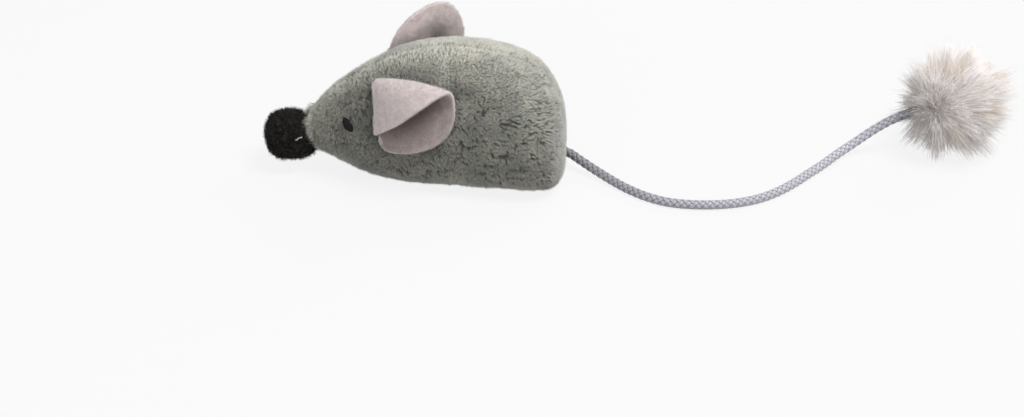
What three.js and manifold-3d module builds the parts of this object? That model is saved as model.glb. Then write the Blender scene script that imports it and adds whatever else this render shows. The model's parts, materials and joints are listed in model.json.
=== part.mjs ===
// A catnip mouse: a stuffed plush body with rolled felt ears, stitched eyes, a fuzzy ball nose,
// and a satin cord tail that ends in a fur pompom.
//
// Millimetres, +Z up. The origin is the centre of the flat of the belly, -X points to the nose,
// +X along the tail, and the mouse's left side faces -Y.
import * as THREE from 'three';
import { mergeVertices } from 'three/addons/utils/BufferGeometryUtils.js';
import Module from 'manifold-3d';

const wasm = await Module();
wasm.setup();

// Driving dimensions
const bodyLength = 65;
const bodyWidth = 40;
const bodyHeight = 34.5;
const skinThickness = 1.5;
const clearance = 0.3;
const bellyFlatDepth = 0.5;

const noseDiameter = 12.2;
const noseLumpHeight = 0.35;
const eyeDiameter = 3.1;
const eyeBulge = 0.9;

const earLength = 22;
const feltThickness = 1.1;
const earKnotDiameter = 1.7;

const threadDiameter = 0.7;
const bellySeamInset = 4;
const noseThreadDiameter = 1;

const cordDiameter = 2.4;
const tailKnotDiameter = 5;
const bindingDiameter = 3.4;
const pompomDiameter = 29;
const pompomCoreDiameter = 7;
const pompomTuftDepth = 4.2;
const pompomFlatDepth = 0.5;

const pouchLength = 17;
const pouchWidth = 11;
const pouchHeight = 8;

// Where the pieces sit, as shares of the body's own sizes
const rumpPlaceShare = 0.4805;
const sectionWaistShare = 0.36;
const upperRoundness = 2.15;
const lowerRoundness = 2.9;
const nosePlaceShare = 0.31;
const noseHeightShare = 0.265;
const eyePlaceShare = 0.825;
const eyeHeightShare = 0.485;
const leftEarPlaceShare = 0.737;
const leftEarHeightShare = 0.79;
const rightEarPlaceShare = 0.697;
const rightEarHeightShare = 0.69;
const pouchPlaceShare = 0.42;
const pouchFloorShare = 0.2;
const seamStartShare = 0.12;
const seamEndShare = 0.92;
const bellySeamReachShare = 0.93;
const earTipShare = 0.1;
const earHollowShare = 0.6;
const leastSlopeShare = 0.02;
const leftEarBulgeShare = 0.01;
const rightEarBulgeShare = 0.05;
const noseSquareness = 2.5;
const tuftReachShare = 1.2;
const tuftRoundness = 1.6;
const cutterSizeShare = 4;

// The lumps of the nose, as waves about the ball and where they start
const lumpWaves = new THREE.Vector3(5, 4, 6);
const lumpStarts = new THREE.Vector3(1, 2, 0);

// The body's outline from the rump to the snout: place along the length, then half width,
// top and bottom, as shares of the length, of half the width and of the height. The bottom is
// measured from the lowest point of the round belly, before the flat is cut.
const bodyOutlineShares = [
  [0.000, 0.00, 0.27, 0.285],
  [0.004, 0.32, 0.43, 0.145],
  [0.020, 0.64, 0.56, 0.055],
  [0.070, 0.92, 0.725, 0.003],
  [0.165, 1.00, 0.875, 0.000],
  [0.300, 0.95, 0.965, 0.000],
  [0.460, 0.855, 1.00, 0.000],
  [0.620, 0.74, 0.948, 0.000],
  [0.760, 0.57, 0.825, 0.045],
  [0.880, 0.40, 0.67, 0.135],
  [0.960, 0.26, 0.51, 0.195],
  [0.990, 0.15, 0.425, 0.230],
  [1.000, 0.00, 0.31, 0.325],
];

// The rims of the two rolled ears, measured from the ear's root towards the rump, away from the
// middle of the mouse and up, as shares of the ear's length. The left ear droops against the
// flank with its mouth outwards; the right one stands up with its mouth to the rear.
const leftEarRimShares = [
  [0.03, 0.38, -0.53],
  [0.25, 0.60, -0.28],
  [0.455, 0.74, -0.02],
  [0.70, 0.66, 0.07],
  [0.885, 0.48, 0.12],
  [0.93, 0.48, -0.18],
  [0.83, 0.53, -0.46],
  [0.68, 0.49, -0.62],
  [0.49, 0.43, -0.70],
  [0.295, 0.37, -0.73],
  [0.125, 0.33, -0.70],
];
const rightEarRimShares = [
  [0.26, -0.04, 0.11],
  [0.26, -0.10, 0.28],
  [0.33, -0.06, 0.455],
  [0.44, 0.04, 0.62],
  [0.65, 0.23, 0.68],
  [0.76, 0.32, 0.57],
  [0.85, 0.38, 0.42],
  [0.93, 0.41, 0.18],
  [0.875, 0.44, -0.09],
  [0.66, 0.37, -0.21],
  [0.42, 0.19, -0.145],
];

// The tail's route from the seam at the rump, along the floor and up into the pompom
const tailRoute = [
  [31.0, 0.0, 4.2],
  [32.5, -1.0, 3.9],
  [34.3, -2.7, 3.4],
  [37.1, -5.0, 2.5],
  [40.0, -7.6, 1.8],
  [42.7, -10.3, 1.4],
  [45.5, -13.2, 1.25],
  [48.3, -15.8, 1.25],
  [51.3, -18.0, 1.25],
  [55.0, -19.9, 1.25],
  [59.6, -21.0, 1.25],
  [65.4, -21.3, 1.25],
  [71.3, -20.6, 1.25],
  [77.0, -18.7, 1.25],
  [82.2, -15.4, 1.25],
  [87.0, -11.0, 1.25],
  [91.0, -6.6, 1.3],
  [95.0, -2.3, 1.4],
  [98.9, 1.7, 2.0],
  [102.3, 4.2, 3.0],
  [105.5, 5.5, 4.7],
  [108.8, 6.0, 7.0],
  [112.3, 6.0, 9.4],
  [115.8, 6.2, 11.0],
  [120.0, 6.8, 12.4],
  [125.8, 7.8, 13.5],
];

// How far along the route, in millimetres, each bend pivot of the tail lies
const swingPivotPlace = 1.7;
const liftPivotPlace = 8;
const flopPivotPlaceFromEnd = 12.4;

// How finely the curved pieces are cut
const ringsPerOutlineStep = 2;
const sidesOfBody = 32;
const sidesOfEar = 26;
const ringsOfEar = 7;
const ringsOfEarTip = 2;
const sidesOfNose = 20;
const ringsOfNose = 14;
const tuftsOfPompom = 100;
const stepsOfPompom = 11;
const sidesOfBall = 16;
const ringsOfBall = 8;
const sidesOfKnot = 8;
const ringsOfKnot = 6;
const sidesOfCord = 8;
const sidesOfThread = 6;
const cordStepsPerDiameter = 0.4;
const seamStepsPerOutlineStep = 2;
const bellySeamStepsPerOutlineStep = 3;
const probeShare = 0.01;

const halfWidth = bodyWidth / 2;
const rumpX = bodyLength * rumpPlaceShare;
const cutterSize = bodyLength * cutterSizeShare;

const plush = new THREE.MeshStandardMaterial({ color: 0x8f8f88, roughness: 0.95, metalness: 0 });
const bellyPlush = new THREE.MeshStandardMaterial({ color: 0x85857f, roughness: 0.95, metalness: 0 });
const felt = new THREE.MeshStandardMaterial({ color: 0xbfb1b0, roughness: 0.95, metalness: 0 });
const noseFibre = new THREE.MeshStandardMaterial({ color: 0x1b1817, roughness: 0.9, metalness: 0 });
const blackThread = new THREE.MeshStandardMaterial({ color: 0x141210, roughness: 0.7, metalness: 0 });
const greyThread = new THREE.MeshStandardMaterial({ color: 0x9a9a94, roughness: 0.8, metalness: 0 });
const satin = new THREE.MeshStandardMaterial({ color: 0x9c9cab, roughness: 0.4, metalness: 0 });
const fur = new THREE.MeshStandardMaterial({ color: 0xc9beb6, roughness: 0.95, metalness: 0 });
const wadding = new THREE.MeshStandardMaterial({ color: 0xf2f2ee, roughness: 1, metalness: 0 });
const herbPouch = new THREE.MeshStandardMaterial({ color: 0x8d9a6b, roughness: 0.95, metalness: 0 });

// Solids and their cuts

function solidOf(geometry) {
  const bare = geometry.clone();
  bare.deleteAttribute('normal');
  bare.deleteAttribute('uv');
  const merged = mergeVertices(bare);
  const vertProperties = new Float32Array(merged.attributes.position.array);
  const triVerts = new Uint32Array(merged.index.array);
  return new wasm.Manifold(new wasm.Mesh({ numProp: 3, vertProperties, triVerts }));
}

function geometryOf(solid) {
  const mesh = solid.getMesh();
  const geometry = new THREE.BufferGeometry();
  geometry.setAttribute('position', new THREE.BufferAttribute(new Float32Array(mesh.vertProperties), 3));
  geometry.setIndex(new THREE.BufferAttribute(new Uint32Array(mesh.triVerts), 1));
  geometry.computeVertexNormals();
  return geometry;
}

function blockBetween(low, high) {
  const size = high.clone().sub(low);
  const block = new THREE.BoxGeometry(size.x, size.y, size.z);
  const middle = low.clone().add(high).multiplyScalar(0.5);
  block.translate(middle.x, middle.y, middle.z);
  return solidOf(block);
}

// Everything above a level
function spaceAbove(level) {
  const low = new THREE.Vector3(-cutterSize, -cutterSize, level);
  const high = new THREE.Vector3(cutterSize, cutterSize, cutterSize);
  return blockBetween(low, high);
}

// Everything on one side of the middle plane, starting at a distance from it
function spaceBeside(side, distance) {
  const near = side * distance;
  const far = side * cutterSize;
  const low = new THREE.Vector3(-cutterSize, Math.min(near, far), -cutterSize);
  const high = new THREE.Vector3(cutterSize, Math.max(near, far), cutterSize);
  return blockBetween(low, high);
}

// Closed loft over rings of points, with a point at each end
function loftOver(rings, firstPole, lastPole) {
  const count = rings[0].length;
  const points = [firstPole, ...rings.flat(), lastPole];
  const lastIndex = points.length - 1;
  const faces = [];
  for (let side = 0; side < count; side += 1) {
    const next = (side + 1) % count;
    faces.push(0, 1 + side, 1 + next);
    for (let ring = 0; ring + 1 < rings.length; ring += 1) {
      const here = 1 + ring * count;
      const after = here + count;
      faces.push(here + side, after + side, after + next);
      faces.push(here + side, after + next, here + next);
    }
    const lastRing = 1 + (rings.length - 1) * count;
    faces.push(lastRing + side, lastIndex, lastRing + next);
  }
  const geometry = new THREE.BufferGeometry().setFromPoints(points);
  geometry.setIndex(faces);
  geometry.computeVertexNormals();
  return geometry;
}

// Turns the faces over where they point inwards
function facingOut(geometry) {
  if (signedVolume(geometry) > 0) return geometry;
  const index = geometry.index;
  for (let i = 0; i < index.count; i += 3) {
    const first = index.getX(i);
    index.setX(i, index.getX(i + 1));
    index.setX(i + 1, first);
  }
  geometry.computeVertexNormals();
  return geometry;
}

function signedVolume(geometry) {
  const { position } = geometry.attributes;
  const corner = [new THREE.Vector3(), new THREE.Vector3(), new THREE.Vector3()];
  let sum = 0;
  for (let i = 0; i < geometry.index.count; i += 3) {
    corner.forEach((point, k) => point.fromBufferAttribute(position, geometry.index.getX(i + k)));
    sum += corner[0].dot(corner[1].clone().cross(corner[2]));
  }
  return sum;
}

// The same surface moved along its normals, outwards where the distance is positive
function movedOut(geometry, distance) {
  const moved = geometry.clone();
  const position = moved.attributes.position;
  const normal = moved.attributes.normal;
  for (let i = 0; i < position.count; i += 1) {
    position.setXYZ(
      i,
      position.getX(i) + distance * normal.getX(i),
      position.getY(i) + distance * normal.getY(i),
      position.getZ(i) + distance * normal.getZ(i),
    );
  }
  return moved;
}

// The body's shape

function smoothStep(values, place) {
  const index = Math.min(Math.floor(place), values.length - 2);
  const t = place - index;
  const at = (i) => values[Math.max(0, Math.min(values.length - 1, i))];
  const a = at(index - 1);
  const b = at(index);
  const c = at(index + 1);
  const d = at(index + 2);
  const slopeIn = (c - a) / 2;
  const slopeOut = (d - b) / 2;
  const t2 = t * t;
  const t3 = t2 * t;
  return (2 * t3 - 3 * t2 + 1) * b + (t3 - 2 * t2 + t) * slopeIn
    + (3 * t2 - 2 * t3) * c + (t3 - t2) * slopeOut;
}

const outlineColumns = [0, 1, 2, 3].map((column) => bodyOutlineShares.map((row) => row[column]));
const outlineSteps = bodyOutlineShares.length - 1;
const chinStep = outlineSteps - 2;

// The body's section at a place on the outline table
function sectionAt(place) {
  const [along, half, top, bottom] = outlineColumns.map((values) => smoothStep(values, place));
  const low = bottom * bodyHeight - bellyFlatDepth;
  const high = top * bodyHeight;
  return {
    x: rumpX - along * bodyLength,
    half: half * halfWidth,
    low,
    high,
    waist: low + sectionWaistShare * (high - low),
  };
}

function ringAt(place) {
  const section = sectionAt(place);
  const ring = [];
  for (let side = 0; side < sidesOfBody; side += 1) {
    const angle = (side / sidesOfBody) * 2 * Math.PI;
    const up = Math.cos(angle);
    const out = Math.sin(angle);
    const power = 2 / (up >= 0 ? upperRoundness : lowerRoundness);
    const reach = up >= 0 ? section.high - section.waist : section.waist - section.low;
    ring.push(new THREE.Vector3(
      section.x,
      section.half * Math.sign(out) * Math.abs(out) ** power,
      section.waist + reach * Math.sign(up) * Math.abs(up) ** power,
    ));
  }
  return ring;
}

function bodySurface() {
  const rings = [];
  const ringCount = outlineSteps * ringsPerOutlineStep;
  for (let ring = 1; ring < ringCount; ring += 1) {
    rings.push(ringAt(ring / ringsPerOutlineStep));
  }
  const rump = sectionAt(0);
  const snout = sectionAt(outlineSteps);
  return facingOut(loftOver(
    rings,
    new THREE.Vector3(rump.x, 0, rump.waist),
    new THREE.Vector3(snout.x, 0, snout.waist),
  ));
}

// The body's section at a distance from the middle, along the mouse
function sectionAtX(x) {
  let near = 0;
  let far = outlineSteps;
  while (far - near > probeShare) {
    const middle = (near + far) / 2;
    if (sectionAt(middle).x > x) near = middle;
    else far = middle;
  }
  return sectionAt((near + far) / 2);
}

// Half the body's width at a place along it and a height
function flankAt(x, z) {
  const section = sectionAtX(x);
  const above = z >= section.waist;
  const reach = above ? section.high - section.waist : section.waist - section.low;
  const roundness = above ? upperRoundness : lowerRoundness;
  const rise = Math.min(1, Math.abs(z - section.waist) / reach);
  return section.half * (1 - rise ** roundness) ** (1 / roundness);
}

// The height of the seam round the belly, which climbs under the chin
function bellySeamLevel(section) {
  const lowest = section.x < 0 ? Math.max(0, section.low) : 0;
  return lowest + skinThickness;
}

// The way out of the flank at a point on it
function flankNormal(side, x, z) {
  const probe = probeShare * bodyLength;
  const alongSlope = (flankAt(x + probe, z) - flankAt(x - probe, z)) / (2 * probe);
  const upSlope = (flankAt(x, z + probe) - flankAt(x, z - probe)) / (2 * probe);
  return new THREE.Vector3(-alongSlope, side, -upSlope).normalize();
}

const chinX = sectionAt(chinStep).x;
const outerSurface = bodySurface();
const overFloor = spaceAbove(0);
const wholeBody = solidOf(outerSurface).intersect(overFloor);
const bodyWithClearance = solidOf(movedOut(outerSurface, clearance));
const bodyUnderSkin = solidOf(movedOut(outerSurface, -skinThickness)).intersect(spaceAbove(skinThickness));
const stuffingSpace = solidOf(movedOut(outerSurface, -skinThickness - clearance))
  .intersect(spaceAbove(skinThickness + clearance));

// The tail's cord, cut into the stretches between its bend pivots

const tailPoints = tailRoute.map((point) => new THREE.Vector3(...point));
const tailCurve = new THREE.CatmullRomCurve3(tailPoints, false, 'centripetal');
const tailLength = tailCurve.getLength();

class Stretch extends THREE.Curve {
  constructor(from, to) {
    super();
    this.from = from;
    this.to = to;
  }

  getPoint(t, target = new THREE.Vector3()) {
    const place = this.from + (this.to - this.from) * t;
    return tailCurve.getPointAt(place / tailLength, target);
  }
}

function polygon(radius, sides) {
  const corners = [];
  for (let side = 0; side < sides; side += 1) {
    const angle = (side / sides) * 2 * Math.PI;
    corners.push(new THREE.Vector2(radius * Math.cos(angle), radius * Math.sin(angle)));
  }
  return new THREE.Shape(corners);
}

function tubeAlong(curve, diameter, sides, steps) {
  return solidOf(new THREE.ExtrudeGeometry(polygon(diameter / 2, sides), { steps, extrudePath: curve }));
}

function ballAt(centre, diameter, widthSegments, heightSegments) {
  const ball = new THREE.SphereGeometry(diameter / 2, widthSegments, heightSegments);
  ball.translate(centre.x, centre.y, centre.z);
  return solidOf(ball);
}

// A stretch of cord, with a round start about its pivot where it has one
function cordStretch(from, to, diameter, roundStart) {
  const steps = Math.max(2, Math.round(((to - from) / cordDiameter) * cordStepsPerDiameter));
  const tube = tubeAlong(new Stretch(from, to), diameter, sidesOfCord, steps);
  if (!roundStart) return tube;
  const pivot = tailCurve.getPointAt(from / tailLength);
  return tube.add(ballAt(pivot, diameter, sidesOfCord, sidesOfCord / 2));
}

const pivotGap = cordDiameter / 2 + clearance;
const flopPivotPlace = tailLength - flopPivotPlaceFromEnd;
const tailExit = tailCurve.getPointAt(0);
const tailTip = tailCurve.getPointAt(1);
const tailTipWay = tailCurve.getTangentAt(1);
const tailKnotCentre = new THREE.Vector3(
  tailExit.x - tailKnotDiameter,
  tailExit.y,
  tailExit.z + tailKnotDiameter / 2,
);

// The knot inside the rump and the cord's way out through the seam
function tailAnchor(extraDiameter) {
  const rod = tubeAlong(
    new THREE.LineCurve3(tailKnotCentre, tailExit),
    cordDiameter + extraDiameter,
    sidesOfCord,
    1,
  );
  return ballAt(tailKnotCentre, tailKnotDiameter + extraDiameter, sidesOfKnot, ringsOfKnot).add(rod);
}

// The threads of the seams, which lie just under the skin in grooves of the stuffing

const threadDepth = skinThickness + clearance + threadDiameter / 2;

function backSeamPoint(place) {
  const here = sectionAt(place);
  const before = sectionAt(place - probeShare);
  const after = sectionAt(place + probeShare);
  const way = new THREE.Vector2(after.x - before.x, after.high - before.high).normalize();
  return new THREE.Vector3(here.x - threadDepth * way.y, 0, here.high + threadDepth * way.x);
}

// The underside's height at a place along and across the body
function undersideAt(x, y) {
  const section = sectionAtX(x);
  const share = Math.min(1, Math.abs(y) / section.half);
  const drop = (1 - share ** lowerRoundness) ** (1 / lowerRoundness);
  return section.waist - (section.waist - section.low) * drop;
}

function bellySeamPoint(share) {
  const angle = (share * 2 - 1) * Math.PI * bellySeamReachShare;
  const x = (rumpX + chinX) / 2 - Math.cos(angle) * ((rumpX - chinX) / 2 - bellySeamInset);
  const roundOut = Math.abs(Math.sin(angle)) ** (1 / lowerRoundness);
  const y = Math.sign(angle) * roundOut * flankAt(x, bellySeamLevel(sectionAtX(x)));
  const probe = probeShare * bodyLength;
  const alongSlope = (undersideAt(x + probe, y) - undersideAt(x - probe, y)) / (2 * probe);
  const acrossSlope = (undersideAt(x, y + probe) - undersideAt(x, y - probe)) / (2 * probe);
  const inwards = new THREE.Vector3(-alongSlope, -acrossSlope, 1).normalize();
  const point = new THREE.Vector3(x, y, Math.max(undersideAt(x, y), 0)).addScaledVector(inwards, threadDepth);
  point.z = Math.max(point.z, threadDepth);
  return point;
}

function seamThread(pointAt, from, to, count, extraDiameter) {
  const points = [];
  for (let i = 0; i <= count; i += 1) {
    points.push(pointAt(from + ((to - from) * i) / count));
  }
  const curve = new THREE.CatmullRomCurve3(points, false, 'centripetal');
  return tubeAlong(curve, threadDiameter + extraDiameter, sidesOfThread, count);
}

function backSeamThread(extraDiameter) {
  const from = seamStartShare * outlineSteps;
  const to = seamEndShare * outlineSteps;
  const count = outlineSteps * seamStepsPerOutlineStep;
  return seamThread(backSeamPoint, from, to, count, extraDiameter);
}

function bellySeamThread(extraDiameter) {
  const count = outlineSteps * bellySeamStepsPerOutlineStep;
  return seamThread(bellySeamPoint, 0, 1, count, extraDiameter);
}

// The nose, a round ball with a squarish outline and small lumps

const snout = sectionAt(outlineSteps);
const noseX = snout.x - noseDiameter * nosePlaceShare;
const noseCentre = new THREE.Vector3(noseX, 0, bodyHeight * noseHeightShare);

function lumpyBall(centre, diameter, lumpHeight, squareness, widthSegments, heightSegments) {
  const ball = new THREE.SphereGeometry(1, widthSegments, heightSegments);
  const position = ball.attributes.position;
  const point = new THREE.Vector3();
  for (let i = 0; i < position.count; i += 1) {
    point.fromBufferAttribute(position, i);
    const [x, y, z] = point.toArray().map(Math.abs);
    const square = (x ** squareness + y ** squareness + z ** squareness) ** (1 / squareness);
    const [waveX, waveY, waveZ] = point.clone().multiply(lumpWaves).add(lumpStarts).toArray();
    const lump = Math.sin(waveX) * Math.sin(waveY) * Math.sin(waveZ);
    const radius = diameter / 2 / square + lumpHeight * lump;
    position.setXYZ(
      i,
      centre.x + point.x * radius,
      centre.y + point.y * radius,
      centre.z + point.z * radius,
    );
  }
  return solidOf(ball);
}

function noseThread(extraDiameter) {
  const inSnout = new THREE.Vector3(snout.x + noseDiameter / 2, 0, noseCentre.z);
  return tubeAlong(
    new THREE.LineCurve3(noseCentre, inSnout),
    noseThreadDiameter + extraDiameter,
    sidesOfThread,
    1,
  );
}

// The eyes, round knots of thread that stand on the plush

function eyeOn(side) {
  const x = rumpX - eyePlaceShare * bodyLength;
  const z = eyeHeightShare * bodyHeight;
  const normal = flankNormal(side, x, z);
  const eye = new THREE.SphereGeometry(eyeDiameter / 2, sidesOfBall, ringsOfBall);
  eye.rotateX(Math.PI / 2);
  eye.scale(1, 1, (eyeBulge + clearance) / (eyeDiameter / 2));
  eye.applyQuaternion(new THREE.Quaternion().setFromUnitVectors(new THREE.Vector3(0, 0, 1), normal));
  eye.translate(x, side * flankAt(x, z), z);
  return solidOf(eye).subtract(bodyWithClearance);
}

// The ears, felt rolled into a slanting cone whose tip is sewn to the head with a knot inside it

function earRoot(side, placeShare, heightShare) {
  const x = rumpX - placeShare * bodyLength;
  const z = heightShare * bodyHeight;
  const onHead = new THREE.Vector3(x, side * flankAt(x, z), z);
  return onHead.addScaledVector(flankNormal(side, x, z), clearance + feltThickness / 2);
}

// Where a point lies in the flank, it is moved out of it
function besideFlank(point, side, distance) {
  const least = flankAt(point.x, point.z) + distance;
  if (point.y * side < least) point.y = side * least;
  return point;
}

function gridNormal(rows, ring, place) {
  const count = rows[ring].length;
  const before = rows[Math.max(0, ring - 1)][place];
  const after = rows[Math.min(rows.length - 1, ring + 1)][place];
  const left = rows[ring][(place + count - 1) % count];
  const right = rows[ring][(place + 1) % count];
  const along = after.clone().sub(before);
  const across = right.clone().sub(left);
  return along.cross(across).normalize();
}

function earRows(side, root, rimShares) {
  const rimPoints = rimShares.map(([back, out, up]) => new THREE.Vector3(
    root.x + back * earLength,
    root.y + side * out * earLength,
    root.z + up * earLength,
  ));
  const rim = new THREE.CatmullRomCurve3(rimPoints, true, 'centripetal');
  const rows = [];
  for (let ring = 0; ring <= ringsOfEar; ring += 1) {
    const share = earTipShare + ((1 - earTipShare) * ring) / ringsOfEar;
    const row = [];
    for (let place = 0; place < sidesOfEar; place += 1) {
      row.push(root.clone().lerp(rim.getPointAt(place / sidesOfEar), share));
    }
    rows.push(row);
  }
  return rows;
}

function middleOf(row) {
  const middle = new THREE.Vector3();
  row.forEach((point) => middle.add(point));
  return middle.divideScalar(row.length);
}

// The middle at a place between two rows
function middleBetween(rows, place) {
  const before = Math.min(Math.floor(place), rows.length - 2);
  return middleOf(rows[before]).lerp(middleOf(rows[before + 1]), place - before);
}

// Each row moved along the felt's own normals, away from the inside of the cone
function spreadRows(rows, distanceAt, outwards) {
  return rows.map((row, ring) => row.map((point, place) => {
    const normal = gridNormal(rows, ring, place);
    return point.clone().addScaledVector(normal, outwards * distanceAt(ring));
  }));
}

// The rows kept out of the flank: the felt that faces it lies on it, and the felt that faces away lies
// over that, with a gap between them
function besideFlankRows(rows, side, outwards) {
  return rows.map((row, ring) => row.map((point, place) => {
    const away = gridNormal(rows, ring, place).y * outwards * side;
    const layerShare = (1 + away) / 2;
    const distance = clearance * 2 + feltThickness / 2 + layerShare * (feltThickness + clearance);
    return besideFlank(point.clone(), side, distance);
  }));
}

// The rows moved in by half the felt's thickness. Each point moves towards the middle of its row, and
// never past a share of the way there.
function hollowRows(rows, outwards) {
  return rows.map((row, ring) => {
    const middle = middleOf(row);
    return row.map((point, place) => {
      const way = middle.clone().sub(point);
      const furthest = way.length() * earHollowShare;
      way.normalize();
      const slope = Math.max(-outwards * gridNormal(rows, ring, place).dot(way), leastSlopeShare);
      return point.clone().addScaledVector(way, Math.min(feltThickness / 2 / slope, furthest));
    });
  });
}

function earPieces(side, root, rimShares, bulgeShare) {
  const straight = earRows(side, root, rimShares);
  const mouth = middleOf(straight[ringsOfEar]);
  const mouthRadius = Math.min(...straight[ringsOfEar].map((point) => point.distanceTo(mouth)));
  const outwards = Math.sign(straight[ringsOfEar].reduce((sum, point, place) => (
    sum + gridNormal(straight, ringsOfEar, place).dot(point.clone().sub(mouth))
  ), 0));
  const bulge = (ring) => bulgeShare * earLength * Math.sin((Math.PI * ring) / ringsOfEar);
  const middleRows = besideFlankRows(spreadRows(straight, bulge, outwards), side, outwards);
  const outside = spreadRows(middleRows, () => feltThickness / 2, outwards);
  const inside = hollowRows(middleRows, outwards).slice(ringsOfEarTip);
  const tip = root.clone();
  const innerTip = middleOf(inside[0]);
  const shell = facingOut(loftOver([...outside, ...inside.reverse()], tip, innerTip));
  const knotShare = (feltThickness / 2 + clearance + earKnotDiameter / 2) / mouthRadius;
  const knotRing = ((knotShare - earTipShare) / (1 - earTipShare)) * ringsOfEar;
  const knotCentre = middleBetween(middleRows, Math.max(knotRing, ringsOfEarTip + 1));
  const knotRoom = ballAt(knotCentre, earKnotDiameter + clearance * 2, sidesOfKnot, ringsOfKnot);
  return {
    ear: solidOf(shell).subtract(bodyWithClearance).subtract(knotRoom),
    knot: ballAt(knotCentre, earKnotDiameter, sidesOfKnot, ringsOfKnot),
  };
}

// The pompom, a ball of fur round a small core, with the bound end of the cord inside it

const pompomCentre = tailTip.clone().addScaledVector(tailTipWay, pompomCoreDiameter / 2 + clearance);
pompomCentre.z = pompomDiameter / 2 - pompomFlatDepth;

function pompomBinding(extraDiameter) {
  const stub = cordStretch(flopPivotPlace, tailLength, cordDiameter + extraDiameter, true);
  const bound = cordStretch(
    flopPivotPlace + bindingDiameter,
    tailLength,
    bindingDiameter + extraDiameter,
    false,
  );
  return stub.add(bound);
}

function pompomCore(extraDiameter) {
  return ballAt(pompomCentre, pompomCoreDiameter + extraDiameter, sidesOfBall, ringsOfBall);
}

// Directions spread evenly over a ball, along a spiral from pole to pole
function spreadOverBall(count) {
  return Array.from({ length: count }, (_, index) => {
    const place = index + 1 / 2;
    const height = 1 - (2 * place) / count;
    const flat = Math.sqrt(1 - height * height);
    const angle = place * Math.PI * (1 + Math.sqrt(5));
    return new THREE.Vector3(flat * Math.cos(angle), flat * Math.sin(angle), height);
  });
}

// The fur stands in pointed tufts, with valleys between them
function tuftedBall(centre) {
  const tufts = spreadOverBall(tuftsOfPompom);
  const tuftReach = (Math.sqrt((4 * Math.PI) / tuftsOfPompom) / 2) * tuftReachShare;
  const ball = new THREE.IcosahedronGeometry(1, stepsOfPompom);
  const position = ball.attributes.position;
  const way = new THREE.Vector3();
  for (let i = 0; i < position.count; i += 1) {
    way.fromBufferAttribute(position, i);
    const fromTuft = Math.min(...tufts.map((tuft) => tuft.angleTo(way))) / tuftReach;
    const radius = pompomDiameter / 2 - pompomTuftDepth * Math.min(1, fromTuft) ** tuftRoundness;
    position.setXYZ(i, ...way.multiplyScalar(radius).add(centre).toArray());
  }
  return solidOf(ball);
}

function pompomFur() {
  return tuftedBall(pompomCentre)
    .subtract(pompomBinding(clearance * 2))
    .subtract(pompomCore(clearance * 2))
    .subtract(ballAt(tailTip, bindingDiameter, sidesOfKnot, ringsOfKnot))
    .intersect(overFloor);
}

// The catnip in its pouch, in a pocket of the stuffing that opens towards the belly

function pouch(extraSize) {
  const centre = new THREE.Vector3(
    rumpX - pouchPlaceShare * bodyLength,
    0,
    bodyHeight * pouchFloorShare + pouchHeight / 2,
  );
  const pillow = new THREE.SphereGeometry(1 / 2, sidesOfBall, ringsOfBall);
  pillow.scale(pouchLength + extraSize, pouchWidth + extraSize, pouchHeight + extraSize);
  pillow.translate(centre.x, centre.y, centre.z);
  return { centre, solid: solidOf(pillow) };
}

function pouchPocket() {
  const { centre, solid } = pouch(clearance * 2);
  const halfSize = new THREE.Vector3(pouchLength / 2 + clearance, pouchWidth / 2 + clearance, 0);
  const low = new THREE.Vector3(centre.x - halfSize.x, -halfSize.y, 0);
  const high = new THREE.Vector3(centre.x + halfSize.x, halfSize.y, centre.z);
  return solid.add(blockBetween(low, high));
}

// The skin, cut along its seams into two sides and a belly

const skin = wholeBody
  .subtract(bodyUnderSkin)
  .subtract(tailAnchor(clearance * 2))
  .subtract(noseThread(clearance * 2));

// The room below the seam round the belly
function roomBelowSeam(extraHeight) {
  const rings = [];
  for (let place = 0; place <= chinStep; place += 1) {
    const section = sectionAt(place);
    const level = bellySeamLevel(section) + extraHeight;
    rings.push([
      new THREE.Vector3(section.x, -bodyWidth, -bodyHeight),
      new THREE.Vector3(section.x, -bodyWidth, level),
      new THREE.Vector3(section.x, bodyWidth, level),
      new THREE.Vector3(section.x, bodyWidth, -bodyHeight),
    ]);
  }
  const first = rings[0];
  const last = rings[rings.length - 1];
  return solidOf(facingOut(loftOver(rings, middleOf(first), middleOf(last))));
}

function sidePanel(side) {
  return skin
    .subtract(roomBelowSeam(clearance))
    .intersect(spaceBeside(side, clearance / 2));
}

const group = new THREE.Group();

function addPiece(name, solid, material) {
  const mesh = new THREE.Mesh(geometryOf(solid), material);
  mesh.name = name;
  group.add(mesh);
}

const left = -1;
const right = 1;
const leftEarRoot = earRoot(left, leftEarPlaceShare, leftEarHeightShare);
const rightEarRoot = earRoot(right, rightEarPlaceShare, rightEarHeightShare);
const leftEar = earPieces(left, leftEarRoot, leftEarRimShares, leftEarBulgeShare);
const rightEar = earPieces(right, rightEarRoot, rightEarRimShares, rightEarBulgeShare);

const stuffing = stuffingSpace
  .subtract(pouchPocket())
  .subtract(tailAnchor(clearance * 2))
  .subtract(noseThread(clearance * 2))
  .subtract(backSeamThread(clearance * 2))
  .subtract(bellySeamThread(clearance * 2));

const nose = lumpyBall(noseCentre, noseDiameter, noseLumpHeight, noseSquareness, sidesOfNose, ringsOfNose)
  .subtract(bodyWithClearance)
  .subtract(noseThread(clearance * 2));

const tailCordRoot = cordStretch(swingPivotPlace, liftPivotPlace - pivotGap, cordDiameter, true);
const tailCord = cordStretch(liftPivotPlace, flopPivotPlace - pivotGap, cordDiameter, true);

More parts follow.
